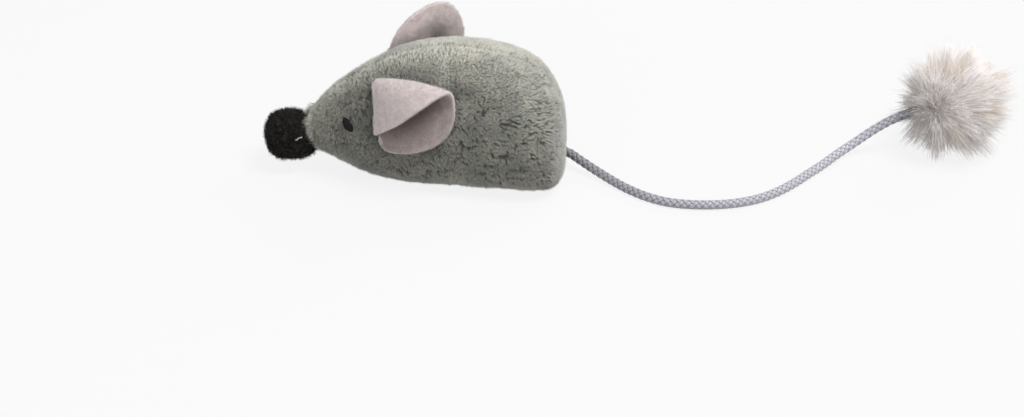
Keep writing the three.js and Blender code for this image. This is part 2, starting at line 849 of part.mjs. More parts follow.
addPiece('side_panel_left', sidePanel(left), plush);
addPiece('side_panel_right', sidePanel(right), plush);
addPiece('belly_panel', skin.intersect(roomBelowSeam(0)), bellyPlush);
addPiece('back_seam_thread', backSeamThread(0), greyThread);
addPiece('belly_seam_thread', bellySeamThread(0).intersect(stuffingSpace), greyThread);
addPiece('stuffing', stuffing, wadding);
addPiece('catnip_pouch', pouch(0).solid, herbPouch);
addPiece('nose_pompom', nose, noseFibre);
addPiece('nose_thread', noseThread(0), blackThread);
addPiece('left_eye', eyeOn(left), blackThread);
addPiece('right_eye', eyeOn(right), blackThread);
addPiece('left_ear', leftEar.ear, felt);
addPiece('left_ear_stitch', leftEar.knot, blackThread);
addPiece('right_ear', rightEar.ear, felt);
addPiece('right_ear_stitch', rightEar.knot, blackThread);
addPiece('tail_knot', tailAnchor(0), satin);
addPiece('tail_cord_root', tailCordRoot, satin);
addPiece('tail_cord', tailCord, satin);
addPiece('pompom_binding', pompomBinding(0), satin);
addPiece('pompom_core', pompomCore(0), fur);
addPiece('pompom_fur', pompomFur(), fur);

export default group;
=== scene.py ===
"""The looks of a catnip mouse: plush pile, rolled felt ears, stitched eyes, a fuzzy ball nose, and
a braided satin tail that ends in a fur pompom. Metres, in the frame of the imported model: -X is
the nose, +X the tail, the mouse's left side faces -Y and the floor is at Z 0."""

import itertools
import json
import math

import bmesh
import bpy
import numpy as np
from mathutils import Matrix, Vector, kdtree


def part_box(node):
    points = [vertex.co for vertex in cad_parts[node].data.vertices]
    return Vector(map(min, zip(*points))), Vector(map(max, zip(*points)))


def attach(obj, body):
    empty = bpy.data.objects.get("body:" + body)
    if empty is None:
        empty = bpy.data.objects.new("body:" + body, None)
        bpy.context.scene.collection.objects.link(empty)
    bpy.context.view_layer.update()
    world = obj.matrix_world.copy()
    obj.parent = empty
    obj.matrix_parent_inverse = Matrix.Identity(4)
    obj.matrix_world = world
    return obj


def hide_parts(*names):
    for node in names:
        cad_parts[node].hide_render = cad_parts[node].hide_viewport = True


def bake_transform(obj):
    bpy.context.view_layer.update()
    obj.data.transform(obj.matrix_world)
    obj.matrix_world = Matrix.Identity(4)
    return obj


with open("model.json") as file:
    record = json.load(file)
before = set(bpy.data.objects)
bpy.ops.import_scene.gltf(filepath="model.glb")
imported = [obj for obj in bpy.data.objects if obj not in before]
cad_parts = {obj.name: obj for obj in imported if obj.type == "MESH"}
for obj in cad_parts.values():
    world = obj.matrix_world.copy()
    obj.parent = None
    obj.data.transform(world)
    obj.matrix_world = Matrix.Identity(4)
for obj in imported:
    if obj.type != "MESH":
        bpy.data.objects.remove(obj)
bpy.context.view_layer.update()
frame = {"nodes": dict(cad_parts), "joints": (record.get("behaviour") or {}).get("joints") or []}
nodes = frame["nodes"]
random = np.random.default_rng(7)

# The view, measured on the photograph's frame of 1024 by 417 pixels
frame_width_px = 1024
frame_height_px = 417
origin_x_px = 441.0
origin_y_px = 165.6
camera_distance = 0.711
camera_elevation = math.radians(30)
lens_mm = 100
sensor_mm = 36

# Colours, linear
pile_tip = (0.74, 0.73, 0.66)
# The pile's painted shade: the colour given to its fibres' feet and to the creases
pile_root_painted_shade = (0.10, 0.10, 0.088)
pile_patches = ((0.84, 0.85, 0.86), (1.08, 1.07, 1.04))
felt_colour = (0.66, 0.59, 0.58)
felt_shade = (0.56, 0.49, 0.48)
# Painted shade inside the ears
felt_painted_shade = (0.34, 0.30, 0.27)
felt_clouds = ((0.92, 0.91, 0.92), (1.05, 1.04, 1.04))
felt_glow = (1.0, 0.85, 0.78)
fibre_black = (0.004, 0.0035, 0.003)
fibre_grey = (0.045, 0.041, 0.037)
thread_black = (0.008, 0.007, 0.007)
satin_light = (0.64, 0.63, 0.69)
# The braid's painted shade: the strands' faces to the core, where they pass under, the core between
# them, and the cord near the rump and the pompom
satin_painted_shade = (0.03, 0.03, 0.038)
satin_streaks = ((0.72, 0.72, 0.74), (1.15, 1.15, 1.15))
fur_light = (0.95, 0.91, 0.90)
fur_beige = (0.88, 0.79, 0.70)
# The fur's grey, for its tone that differs at random, and for its painted shade at the core, the feet
# and by the cord
fur_grey_and_painted_shade = (0.40, 0.37, 0.37)
# A painted glow in the fur, which stands in for light that passes through the pale fibres
fur_painted_glow = (1.0, 0.92, 0.88)
fur_painted_glow_strength = 0.05
wadding_white = (0.85, 0.85, 0.83)
wadding_grey = (0.7, 0.7, 0.69)
muslin_green = (0.22, 0.26, 0.13)
muslin_straw = (0.42, 0.42, 0.30)
thread_grey = (0.30, 0.30, 0.28)
thread_pale = (0.75, 0.75, 0.72)
noise_band = (0.35, 0.65)

# Guards against a division by nothing, and the distance within which two points are one
tiny = 1e-12
micron = 1e-6


# Making meshes


def linked(name, mesh):
    piece = bpy.data.objects.new(name, mesh)
    bpy.context.scene.collection.objects.link(piece)
    return piece


def mesh_piece(name, points, faces, material, tones=None, corner_uv=None):
    """A smooth mesh object. tones holds one value a point, and corner_uv one place a face corner."""
    mesh = bpy.data.meshes.new(name)
    mesh.from_pydata(points.tolist(), [], faces.tolist() if hasattr(faces, "tolist") else faces)
    mesh.polygons.foreach_set("use_smooth", np.ones(len(mesh.polygons), bool))
    if tones is not None:
        set_tone(mesh, tones)
    if corner_uv is not None:
        mesh.uv_layers.new(name="OFBake").data.foreach_set("uv", corner_uv.astype(np.float32).ravel())
    mesh.materials.append(material)
    mesh.validate()
    return linked(name, mesh)


def unit(vectors):
    return vectors / np.maximum(np.linalg.norm(vectors, axis=-1, keepdims=True), tiny)


def lattice(cells, seed):
    """A repeatable value from -1 to 1 for each cell of whole numbers."""
    mixed = cells[..., 0] * 73856093 ^ cells[..., 1] * 19349663 ^ cells[..., 2] * 83492791 ^ seed * 7919
    mixed = (mixed ^ mixed >> 13) * 1274126177
    return ((mixed ^ mixed >> 16) & 0xFFFF) / 0x7FFF - 1


def noise(points, size, seed):
    """Smooth noise from -1 to 1 whose lumps are about size across."""
    place = points / size
    cell = np.floor(place).astype(np.int64)
    share = place - cell
    share = share * share * (3 - 2 * share)
    total = np.zeros(points.shape[:-1])
    for corner in itertools.product((0, 1), repeat=3):
        weight = np.where(np.array(corner) == 1, share, 1 - share).prod(axis=-1)
        total += weight * lattice(cell + np.array(corner), seed)
    return total


def ramp(values, low, high):
    share = np.clip((values - low) / (high - low), 0, 1)
    return share * share * (3 - 2 * share)


def catmull_rom(values, place):
    """Values read at fractional places, with a smooth curve through them. values is (n,) or (n, 3)."""
    values = np.asarray(values, float)
    last = len(values) - 1
    index = np.minimum(np.floor(place).astype(int), last - 1)
    share = place - index
    if values.ndim > 1:
        share = share[:, None]
    a, b, c, d = (values[np.clip(index + step, 0, last)] for step in (-1, 0, 1, 2))
    slope_in, slope_out = (c - a) / 2, (d - b) / 2
    squared, cubed = share**2, share**3
    return (
        (2 * cubed - 3 * squared + 1) * b
        + (cubed - 2 * squared + share) * slope_in
        + (3 * squared - 2 * cubed) * c
        + (cubed - squared) * slope_out
    )


def length_of(line):
    return float(np.linalg.norm(np.diff(line, axis=0), axis=1).sum())


def run_along(line):
    """How far along a line each of its points is."""
    return np.concatenate([[0], np.cumsum(np.linalg.norm(np.diff(line, axis=0), axis=1))])


def evenly(line, count):
    """count points at equal steps along a line of points."""
    along = run_along(line)
    wanted = np.linspace(0, along[-1], count)
    return np.column_stack([np.interp(wanted, along, column) for column in line.T])


def turns(sides):
    """The angles of points evenly round a ring."""
    return np.arange(sides) / sides * 2 * math.pi


def frames_along(line):
    """Two unit vectors across a line at each of its points, which turn as little as they can."""
    way = unit(np.gradient(line, axis=0))
    first = unit(np.cross(way[0], (0.0, 0.0, 1.0)))
    across = [first]
    for here in way[1:]:
        across.append(unit(across[-1] - here * (across[-1] @ here)))
    across = np.array(across)
    return across, np.cross(way, across)


strand_sides = 3
map_start = 0.1
map_reach = 0.85
map_gap = 0.05
map_foot = 0.02
map_foot_step = 0.06


def strand_pattern(steps):
    """The faces of one strand, the foot's first, and their corners' places on its square of the map."""
    sides = strand_sides
    foot = tuple(reversed(range(sides)))
    pattern = [foot]
    places = [(map_foot + map_foot_step * (side % 2), (side + 0.5) / sides) for side in foot]
    for step, side in itertools.product(range(steps - 1), range(sides)):
        here, there = (map_start + map_reach * number / (steps - 1) for number in (step, step + 1))
        low, high = (side + map_gap) / sides, (side + 1 - map_gap) / sides
        start, end = step * sides + side, step * sides + (side + 1) % sides
        if step + 2 < steps:
            pattern.append((start, end, end + sides, start + sides))
            places.extend([(here, low), (here, high), (there, high), (there, low)])
        else:
            pattern.append((start, end, (steps - 1) * sides))
            places.extend([(here, low), (here, high), (there, (low + high) / 2)])
    return pattern, np.array(places)


def strand_piece(name, lines, radii, tones, material):
    """Many tapered strands in one mesh. lines is (strands, points, 3); radii and tones go with its
    points, and a strand's last point is its tip. Each strand has a square of the map to itself."""
    count, steps = lines.shape[:2]
    way = unit(np.gradient(lines, axis=1))
    across = unit(np.cross(way, unit(random.normal(size=(count, 1, 3)))))
    beside = np.cross(way, across)
    angle = turns(strand_sides)[:, None]
    ring = across[:, :, None] * np.cos(angle) + beside[:, :, None] * np.sin(angle)
    rings = lines[:, :-1, None] + ring[:, :-1] * radii[:, :-1, None, None]
    points = np.concatenate([rings.reshape(count, -1, 3), lines[:, -1:]], axis=1)
    point_tones = np.concatenate([np.repeat(tones[:, :-1], strand_sides, axis=1), tones[:, -1:]], axis=1)
    pattern, places = strand_pattern(steps)
    faces = []
    for start in range(0, count * points.shape[1], points.shape[1]):
        faces.extend(tuple(corner + start for corner in face) for face in pattern)
    cells = math.ceil(count**0.5)
    square = np.column_stack([np.arange(count) % cells, np.arange(count) // cells])
    corner_uv = ((square[:, None] + places) / cells).reshape(-1, 2)
    return mesh_piece(name, points.reshape(-1, 3), faces, material, point_tones.ravel(), corner_uv)


def tube(line, wide, thick, sides, across, beside):
    """Points and faces of a closed tube with an oval section, given two vectors across it."""
    angle = turns(sides)[:, None]
    wide, thick = (np.broadcast_to(half, len(line))[:, None, None] for half in (wide, thick))
    ring = across[:, None] * (np.cos(angle) * wide) + beside[:, None] * (np.sin(angle) * thick)
    faces = []
    for step, side in itertools.product(range(len(line) - 1), range(sides)):
        start, end = step * sides + side, step * sides + (side + 1) % sides
        faces.append((start, end, end + sides, start + sides))
    faces.append(tuple(reversed(range(sides))))
    faces.append(tuple(range((len(line) - 1) * sides, len(line) * sides)))
    return (line[:, None] + ring).reshape(-1, 3), faces


def grid_quads(corner):
    """The faces between neighbours in a grid of point numbers."""
    quads = [corner[:-1, :-1], corner[1:, :-1], corner[1:, 1:], corner[:-1, 1:]]
    return np.stack(quads, axis=-1).reshape(-1, 4)


def sheet_normals(sheet):
    """The normals of a grid of points, (rows, columns, 3)."""
    return unit(np.cross(np.gradient(sheet, axis=0), np.gradient(sheet, axis=1)))


def joined(parts):
    """Several (points, faces) as one."""
    faces, offset = [], 0
    for points, some_faces in parts:
        faces.extend(tuple(corner + offset for corner in face) for face in some_faces)
        offset += len(points)
    return np.concatenate([points for points, _ in parts]), faces


def coordinates(mesh, what="co"):
    found = np.zeros(len(mesh.vertices) * 3, np.float32)
    mesh.vertices.foreach_get(what, found)
    return found.reshape(-1, 3).astype(float)


def set_coordinates(mesh, points):
    mesh.vertices.foreach_set("co", points.astype(np.float32).ravel())
    mesh.update()


def relaxed(mesh, rounds):
    """Moves each point towards the middle of its neighbours, which rounds off facets and edges."""
    edges = np.zeros(len(mesh.edges) * 2, np.int32)
    mesh.edges.foreach_get("vertices", edges)
    first, second = edges.reshape(-1, 2).T
    points = coordinates(mesh)
    uses = np.bincount(first, minlength=len(points)) + np.bincount(second, minlength=len(points))
    for _ in range(rounds):
        total = np.zeros_like(points)
        for axis in range(3):
            total[:, axis] += np.bincount(first, points[second, axis], len(points))
            total[:, axis] += np.bincount(second, points[first, axis], len(points))
        points += 0.5 * (total / np.maximum(uses, 1)[:, None] - points)
    set_coordinates(mesh, points)


def softened(name, rough, voxel, rounds, material):
    """A fine, rounded piece with the shape of a closed mesh."""
    piece = linked(name, rough)
    remesh = piece.modifiers.new("remesh", "REMESH")
    remesh.mode = "VOXEL"
    remesh.voxel_size = voxel
    graph = bpy.context.evaluated_depsgraph_get()
    fine = bpy.data.meshes.new_from_object(piece.evaluated_get(graph))
    piece.modifiers.clear()
    piece.data = fine
    relaxed(fine, rounds)
    fine.polygons.foreach_set("use_smooth", np.ones(len(fine.polygons), bool))
    fine.materials.clear()
    fine.materials.append(material)
    return piece


def soft_copy(name, node, voxel, rounds, material):
    """A fine, rounded piece with the shape of a CAD node, which it replaces."""
    source = bmesh.new()
    source.from_mesh(nodes[node].data)
    bmesh.ops.remove_doubles(source, verts=source.verts, dist=micron)
    rough = bpy.data.meshes.new(name)
    source.to_mesh(rough)
    source.free()
    piece = softened(name, rough, voxel, rounds, material)
    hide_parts(node)
    return piece


def set_tone(mesh, tones):
    mesh.attributes.new("tone", "FLOAT", "POINT").data.foreach_set("value", tones.astype(np.float32))


def box_of(node):
    """The middle and the size of a CAD node's box."""
    low, high = (np.array(corner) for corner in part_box(node))
    return (low + high) / 2, high - low


def scattered(mesh, count):
    """Places and normals spread over a mesh by area."""
    mesh.calc_loop_triangles()
    corners = np.zeros(len(mesh.loop_triangles) * 3, np.int32)
    mesh.loop_triangles.foreach_get("vertices", corners)
    corners = corners.reshape(-1, 3)
    points, normals = coordinates(mesh), coordinates(mesh, "normal")
    a, b, c = points[corners].transpose(1, 0, 2)
    area = np.linalg.norm(np.cross(b - a, c - a), axis=1)
    chosen = random.choice(len(corners), count, p=area / area.sum())
    share = np.sort(random.random((count, 2)), axis=1)
    weights = np.stack([share[:, 0], share[:, 1] - share[:, 0], 1 - share[:, 1]], axis=1)[:, :, None]
    return (points[corners[chosen]] * weights).sum(1), unit((normals[corners[chosen]] * weights).sum(1))


# Materials


class Nodes:
    """Short names for a material's nodes and links."""

    def __init__(self, name):
        self.material = bpy.data.materials.new(name)
        self.material.use_nodes = True
        self.tree = self.material.node_tree
        self.shader = self.tree.nodes["Principled BSDF"]

    def add(self, kind, **settings):
        node = self.tree.nodes.new(kind)
        for key, value in settings.items():
            setattr(node, key, value)
        return node

    def link(self, source, target):
        self.tree.links.new(source, target)

    def set(self, **values):
        for key, value in values.items():
            self.shader.inputs[key.replace("_", " ")].default_value = value

    def colour(self, source):
        self.link(source, self.shader.inputs["Base Color"])

    def noise(self, size, detail=2.0, stretch=(1, 1, 1)):
        """Noise in the frame's own coordinates, whose lumps are about size metres across."""
        place = self.add("ShaderNodeTexCoord")
        mapping = self.add("ShaderNodeMapping")
        mapping.inputs["Scale"].default_value = stretch
        texture = self.add("ShaderNodeTexNoise")
        texture.inputs["Scale"].default_value = 1 / size
        texture.inputs["Detail"].default_value = detail
        self.link(place.outputs["Object"], mapping.inputs["Vector"])
        self.link(mapping.outputs["Vector"], texture.inputs["Vector"])
        return texture.outputs["Fac"]

    def tone(self):
        return self.add("ShaderNodeAttribute", attribute_name="tone").outputs["Fac"]

    def spread(self, source, low, high):
        found = self.add("ShaderNodeMapRange")
        found.inputs["From Min"].default_value = low
        found.inputs["From Max"].default_value = high
        self.link(source, found.inputs["Value"])
        return found.outputs["Result"]

    def mix(self, factor, first, second, blend="MIX"):
        node = self.add("ShaderNodeMix", data_type="RGBA", blend_type=blend)
        for socket, value in (("Factor_Float", factor), ("A_Color", first), ("B_Color", second)):
            target = next(i for i in node.inputs if i.identifier == socket)
            if isinstance(value, bpy.types.NodeSocket):
                self.link(value, target)
            elif isinstance(value, tuple):
                target.default_value = (*value, 1)
            else:
                target.default_value = value
        return next(o for o in node.outputs if o.identifier == "Result_Color")

    def times(self, first, second):
        return self.mix(1.0, first, second, "MULTIPLY")

    def bump(self, height, distance, strength=1.0):
        node = self.add("ShaderNodeBump")
        node.inputs["Distance"].default_value = distance
        node.inputs["Strength"].default_value = strength
        self.link(height, node.inputs["Height"])
        self.link(node.outputs["Normal"], self.shader.inputs["Normal"])


def plush_material():
    m = Nodes("grey_plush")
    # The tone runs from the painted shade at the feet and in the creases to the fibres' tips
    shade = m.mix(m.tone(), pile_root_painted_shade, pile_tip)
    patches = m.mix(m.spread(m.noise(size=0.006), *noise_band), *pile_patches)
    m.colour(m.times(shade, patches))
    m.set(Roughness=0.85, Sheen_Weight=0.35, Sheen_Roughness=0.45, Specular_IOR_Level=0.2)
    return m.material


def felt_material():
    m = Nodes("ear_felt")
    fibres = m.noise(size=0.00035, detail=3.0, stretch=(1, 2.5, 1))
    clouds = m.noise(size=0.0014, detail=3.0)
    base = m.mix(m.spread(fibres, *noise_band), felt_shade, felt_colour)
    tint = m.mix(m.spread(clouds, *noise_band), *felt_clouds)
    # Painted shade inside the ears, read from the tone
    inside = m.mix(m.tone(), felt_painted_shade, (1.0, 1.0, 1.0))
    m.colour(m.times(m.times(base, tint), inside))
    m.bump(fibres, distance=0.00012, strength=0.7)
    m.set(Roughness=0.92, Sheen_Weight=0.3, Sheen_Roughness=0.5, Specular_IOR_Level=0.2)
    m.set(Subsurface_Weight=0.6, Subsurface_Radius=felt_glow, Subsurface_Scale=0.0015)
    return m.material


def fibre_material(name, dark, light, size):
    m = Nodes(name)
    specks = m.spread(m.noise(size), low=0.5, high=0.72)
    base = m.mix(m.tone(), dark, light)
    m.colour(m.mix(specks, base, light))
    m.set(Roughness=0.8, Sheen_Weight=0.05, Sheen_Roughness=0.4, Specular_IOR_Level=0.15)
    return m.material


def thread_material(name, colour, roughness, shine=0.5, gain=1.8, haze=0.004):
    m = Nodes(name)
    lay = m.noise(size=0.00025, stretch=(1, 3, 1))
    light = tuple(min(1.0, value * gain + haze) for value in colour)
    m.colour(m.mix(m.spread(lay, low=0.35, high=0.7), colour, light))
    m.bump(lay, distance=0.00005, strength=0.6)
    m.set(Roughness=roughness, Specular_IOR_Level=shine)
    return m.material


def satin_material():
    m = Nodes("satin_cord")
    lines = m.add("ShaderNodeUVMap", uv_map="lay")
    mapping = m.add("ShaderNodeMapping")
    mapping.inputs["Scale"].default_value = (3.0, 40.0, 1.0)
    texture = m.add("ShaderNodeTexNoise")
    texture.inputs["Scale"].default_value = 1.0
    texture.inputs["Detail"].default_value = 3.0
    m.link(lines.outputs["UV"], mapping.inputs["Vector"])
    m.link(mapping.outputs["Vector"], texture.inputs["Vector"])
    fibres = texture.outputs["Fac"]
    base = m.mix(m.tone(), satin_painted_shade, satin_light)
    m.colour(m.times(base, m.mix(m.spread(fibres, low=0.3, high=0.7), *satin_streaks)))
    m.bump(fibres, distance=0.00008, strength=0.8)
    m.set(Roughness=0.34, Specular_IOR_Level=0.6, Sheen_Weight=0.2, Sheen_Roughness=0.3)
    return m.material


def fur_material():
    m = Nodes("pompom_fur")
    shade = m.mix(m.tone(), fur_grey_and_painted_shade, fur_light)
    beige = m.spread(m.noise(size=0.007, detail=1.5), low=0.48, high=0.66)
    m.colour(m.mix(beige, shade, m.mix(m.tone(), fur_grey_and_painted_shade, fur_beige)))
    m.set(Roughness=0.7, Sheen_Weight=0.5, Sheen_Roughness=0.5, Specular_IOR_Level=0.3)
    # Painted light: emission in place of the light scattered through the fibres
    m.set(Emission_Color=(*fur_painted_glow, 1), Emission_Strength=fur_painted_glow_strength)
    return m.material


def wadding_material():
    m = Nodes("polyester_stuffing")
    fibres = m.noise(size=0.0008, detail=4.0)
    m.colour(m.mix(m.spread(fibres, low=0.3, high=0.7), wadding_grey, wadding_white))
    m.bump(fibres, distance=0.0004, strength=0.8)
    m.set(Roughness=0.95, Sheen_Weight=0.3)
    return m.material


def muslin_material():
    m = Nodes("catnip_muslin")
    leaf = m.noise(size=0.0015, detail=3.0)
    weave = m.noise(size=0.0003, detail=1.0)
    m.colour(m.mix(m.spread(leaf, *noise_band), muslin_green, muslin_straw))
    m.bump(weave, distance=0.0001, strength=0.8)
    m.set(Roughness=0.9)
    return m.material


# Camera


def add_camera():
    data = bpy.data.cameras.new("camera")
    data.lens = lens_mm
    data.sensor_width = sensor_mm
    data.clip_start = camera_distance / 10
    data.clip_end = camera_distance * 10
    camera = linked("camera", data)
    back = Vector((0, -math.cos(camera_elevation), math.sin(camera_elevation)))
    camera.location = back * camera_distance
    focal_px = lens_mm / sensor_mm * frame_width_px
    to_origin = Vector((origin_x_px - frame_width_px / 2, frame_height_px / 2 - origin_y_px, -focal_px))
    aim = to_origin.rotation_difference(Vector((0, 0, -1)))
    camera.rotation_mode = "QUATERNION"
    camera.rotation_quaternion = (-back).to_track_quat("-Z", "Y") @ aim
    bpy.context.scene.camera = camera


add_camera()

# The tail's cord: the route, from the seam at the rump to the pompom

tail_route = [
    (0.0310, 0.0000, 0.0042),
    (0.0325, -0.0010, 0.0039),
    (0.0343, -0.0027, 0.0034),
    (0.0371, -0.0050, 0.0025),
    (0.0400, -0.0076, 0.0018),
    (0.0427, -0.0103, 0.0014),
    (0.0455, -0.0132, 0.00125),
    (0.0483, -0.0158, 0.00125),
    (0.0513, -0.0180, 0.00125),
    (0.0550, -0.0199, 0.00125),
    (0.0596, -0.0210, 0.00125),
    (0.0654, -0.0213, 0.00125),
    (0.0713, -0.0206, 0.00125),
    (0.0770, -0.0187, 0.00125),
    (0.0822, -0.0154, 0.00125),
    (0.0870, -0.0110, 0.00125),
    (0.0910, -0.0066, 0.0013),
    (0.0950, -0.0023, 0.0014),
    (0.0989, 0.0017, 0.0020),
    (0.1023, 0.0042, 0.0030),
    (0.1055, 0.0055, 0.0047),
    (0.1088, 0.0060, 0.0070),
    (0.1123, 0.0060, 0.0094),
    (0.1158, 0.0062, 0.0110),
    (0.1200, 0.0068, 0.0124),
    (0.1258, 0.0078, 0.0135),
]
cord_diameter = 0.0024
cord_step = 0.0002
braid_strands_each_way = 4
braid_pitch = 0.0068
braid_strand_width = 0.00112
braid_strand_thickness = 0.00050
braid_strand_sides = 8
braid_rise = 0.00015
braid_lay_step = 0.001
braid_end_share = 0.02
braid_end_thickness_share = 0.3
# Painted shade on each strand: lighter on its outer face and darker towards its edges and its face to
# the core, and lighter where it passes over than where it passes under
braid_painted_side_middle = 0.55
braid_painted_side_swing = 0.45
braid_painted_crossing_middle = 0.75
braid_painted_crossing_swing = 0.25
core_diameter = 0.0014
core_sides = 10
# The core is painted dark, for the shade in the gaps between the strands
core_painted_shade_tone = 0.1
# Painted shade along the cord: darker near the rump, fading over a few centimetres, and darker where it
# goes into the pompom
cord_rump_shade = 0.55
cord_rump_shade_reach = 0.045
cord_rump_shade_power = 1.5
cord_end_shade = 0.55
cord_shade_reach = 0.0045

joint_places = {joint["name"]: np.array(joint["pos_m"]) for joint in frame["joints"]}


def route_between(first, last):
    """The part of the tail's route between the points nearest to two places."""
    fine = catmull_rom(np.array(tail_route), np.linspace(0, len(tail_route) - 1, 2000))
    start, end = (np.argmin(np.linalg.norm(fine - place, axis=1)) for place in (first, last))
    line = fine[start : end + 1]
    return evenly(line, round(length_of(line) / cord_step) + 1)


def longer(line, before, after):
    """The line with a straight piece added at each end."""
    first, last = unit(line[0] - line[1]), unit(line[-1] - line[-2])
    head = [line[0] + first * reach for reach in np.arange(before, cord_step / 2, -cord_step)]
    tail = [line[-1] + last * reach for reach in np.arange(cord_step, after + cord_step / 2, cord_step)]
    return np.array([*head, *line, *tail])


def braid(line, start_round, end_round, shade):
    """A round braid along a line: strands that wind both ways over a core, over and under in turn."""
    across, beside = frames_along(line)
    along = np.arange(len(line)) * cord_step
    radius = cord_diameter / 2
    round_off = np.ones(len(line))
    for is_round, from_end in ((start_round, along), (end_round, along[-1] - along)):
        if is_round:
            round_off *= np.sqrt(1 - np.clip(1 - from_end / radius, 0, 1) ** 2)
    round_off = np.maximum(round_off, braid_end_share)
    wide = braid_strand_width / 2 * round_off
    thick = braid_strand_thickness / 2 * np.maximum(round_off, braid_end_thickness_share)
    middle_radius = radius - braid_strand_thickness / 2
    around = turns(braid_strand_sides)
    # Painted shade round each strand: light on its outer face, dark on its face to the core
    edge = braid_painted_side_middle + braid_painted_side_swing * np.sin(around)
    parts, tones, lays = [], [], []
    for turn, index in itertools.product((1, -1), range(braid_strands_each_way)):
        angle = 2 * math.pi * (turn * along / braid_pitch + index / braid_strands_each_way)
        lift = turn * np.cos(2 * math.pi * braid_strands_each_way * along / braid_pitch)
        reach = (middle_radius - braid_rise + braid_rise * lift) * round_off
        out = across * np.cos(angle)[:, None] + beside * np.sin(angle)[:, None]
        path = line + out * reach[:, None]
        way = unit(np.gradient(path, axis=0))
        flat = unit(np.cross(way, out))
        parts.append(tube(path, wide, thick, braid_strand_sides, flat, np.cross(flat, way)))
        # Painted shade where a strand passes under another, and painted light where it passes over
        painted_crossing_shade = (braid_painted_crossing_middle + braid_painted_crossing_swing * lift) * shade
        tones.append((painted_crossing_shade[:, None] * edge[None]).ravel())
        lay_along = np.repeat(along / braid_lay_step, braid_strand_sides)
        lay_round = np.tile(around / (2 * math.pi), len(along)) + index + turn
        lays.append(np.column_stack([lay_along, lay_round]))
    core = core_diameter / 2 * round_off
    parts.append(tube(line, core, core, core_sides, across, beside))
    # The core's painted shade
    tones.append(np.full(len(line) * core_sides, core_painted_shade_tone))
    lays.append(np.zeros((len(line) * core_sides, 2)))
    points, faces = joined(parts)
    return points, faces, np.concatenate(tones), np.concatenate(lays)


satin = satin_material()


def cord_piece(name, line, start_round, end_round, shade):
    points, faces, tones, lays = braid(line, start_round, end_round, shade)
    piece = mesh_piece(name, points, faces, satin, tones)
    layer = piece.data.uv_layers.new(name="lay")
    corners = np.zeros(len(piece.data.loops), np.int32)
    piece.data.loops.foreach_get("vertex_index", corners)
    layer.data.foreach_set("uv", lays[corners].astype(np.float32).ravel())
    return piece


def add_tail():
    """The cord's free length, what the seam holds of it, and its end that is bound into the pompom."""
    exit_point, tip = np.array(tail_route[0]), np.array(tail_route[-1])
    swing, lift, flop = (joint_places[name] for name in ("tail_swing", "tail_lift", "pompom_flop"))
    radius = cord_diameter / 2
    line = longer(route_between(swing, flop), radius, radius)
    along = np.arange(len(line)) * cord_step
    # Painted shade: darker near the rump and where the cord goes into the pompom
    at_rump = np.exp(-((along / cord_rump_shade_reach) ** cord_rump_shade_power))
    at_pompom = np.exp((along - along[-1]) / cord_shade_reach)
    shade = 1 - cord_rump_shade * at_rump - cord_end_shade * at_pompom
    cord = cord_piece("tail_cord_braid", line, True, True, shade)
    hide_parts("tail_cord_root", "tail_cord")
    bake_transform(cord)
    held = longer(route_between(exit_point, swing), radius, radius)
    # The part in the seam has the painted shade of the rump all along
    held_shade = np.full(len(held), 1 - cord_rump_shade)
    held_piece = cord_piece("tail_cord_in_seam", held, False, True, held_shade)
    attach(held_piece, "body")
    bound = longer(route_between(flop, tip), radius, 0)
    # The bound end has the painted shade of the pompom all along
    bound_shade = np.full(len(bound), 1 - cord_end_shade)
    end_piece = cord_piece("tail_cord_bound_end", bound, True, False, bound_shade)
    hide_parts("pompom_binding")
    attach(end_piece, "pompom")


add_tail()

# The plush body: one outline, from the rump to the snout, as shares of the body's box. Each row has
# the place along the length, then half width, top and bottom.

body_outline_shares = np.array([
    (0.000, 0.00, 0.27, 0.285),
    (0.004, 0.32, 0.43, 0.145),
    (0.020, 0.64, 0.56, 0.055),
    (0.070, 0.92, 0.725, 0.003),
    (0.165, 1.00, 0.875, 0.000),
    (0.300, 0.95, 0.965, 0.000),
    (0.460, 0.855, 1.00, 0.000),
    (0.620, 0.74, 0.948, 0.000),
    (0.760, 0.57, 0.825, 0.045),
    (0.880, 0.40, 0.67, 0.135),
    (0.960, 0.26, 0.51, 0.195),
    (0.990, 0.15, 0.425, 0.230),
    (1.000, 0.00, 0.31, 0.325),
])
section_waist_share = 0.36
upper_roundness = 2.15
lower_roundness = 2.9
belly_flat_depth = 0.0005
belly_least_width = 0.0012
belly_seam_rise_length = 0.004
side_girth = 0.042
belly_girth = 0.030
grid_step = 0.00019
flank_step = 0.00005
normal_least_share = 0.3
outward_stretch = (0.3, 1, 1)
skin_thickness = 0.0015
skin_lump_height = 0.00012
skin_lump_size = 0.0016
skin_least_share = 0.6
# The skin's tone under the pile, and the painted shade it takes in the creases
skin_tone = 0.5
skin_deep_shade = 0.45
seam_depth = 0.0003
seam_reach = 0.0008

# The pile's fibres: how many, how long and thick, how they lean, and their tones
strands_a_piece = 48000
side_piles = 3
belly_piles = 1
pile_depth = 0.0012
pile_length = 0.0013
pile_length_spread = (0.8, 1.15)
pile_radius = 0.00006
pile_radius_spread = (0.8, 1.2)
pile_sunk = 0.00015
pile_lean = 0.7
pile_short_share = 0.30
# Painted shade at the fibres' feet and in the creases, and a painted highlight along the ridges
pile_root_tone = 0.12
pile_root_deep_shade = 0.1
pile_tone_spread = 0.10
pile_deep_shade = 0.85
pile_ridge_light = 0.10
ridge_band = (0.0, 0.8)
most_tone = 1.3
least_height = 0.00004
nap_way = (0.70, 0.0, -0.40)
nap_swirl = 0.6
nap_swirl_size = 0.0035
nap_spread = 0.20

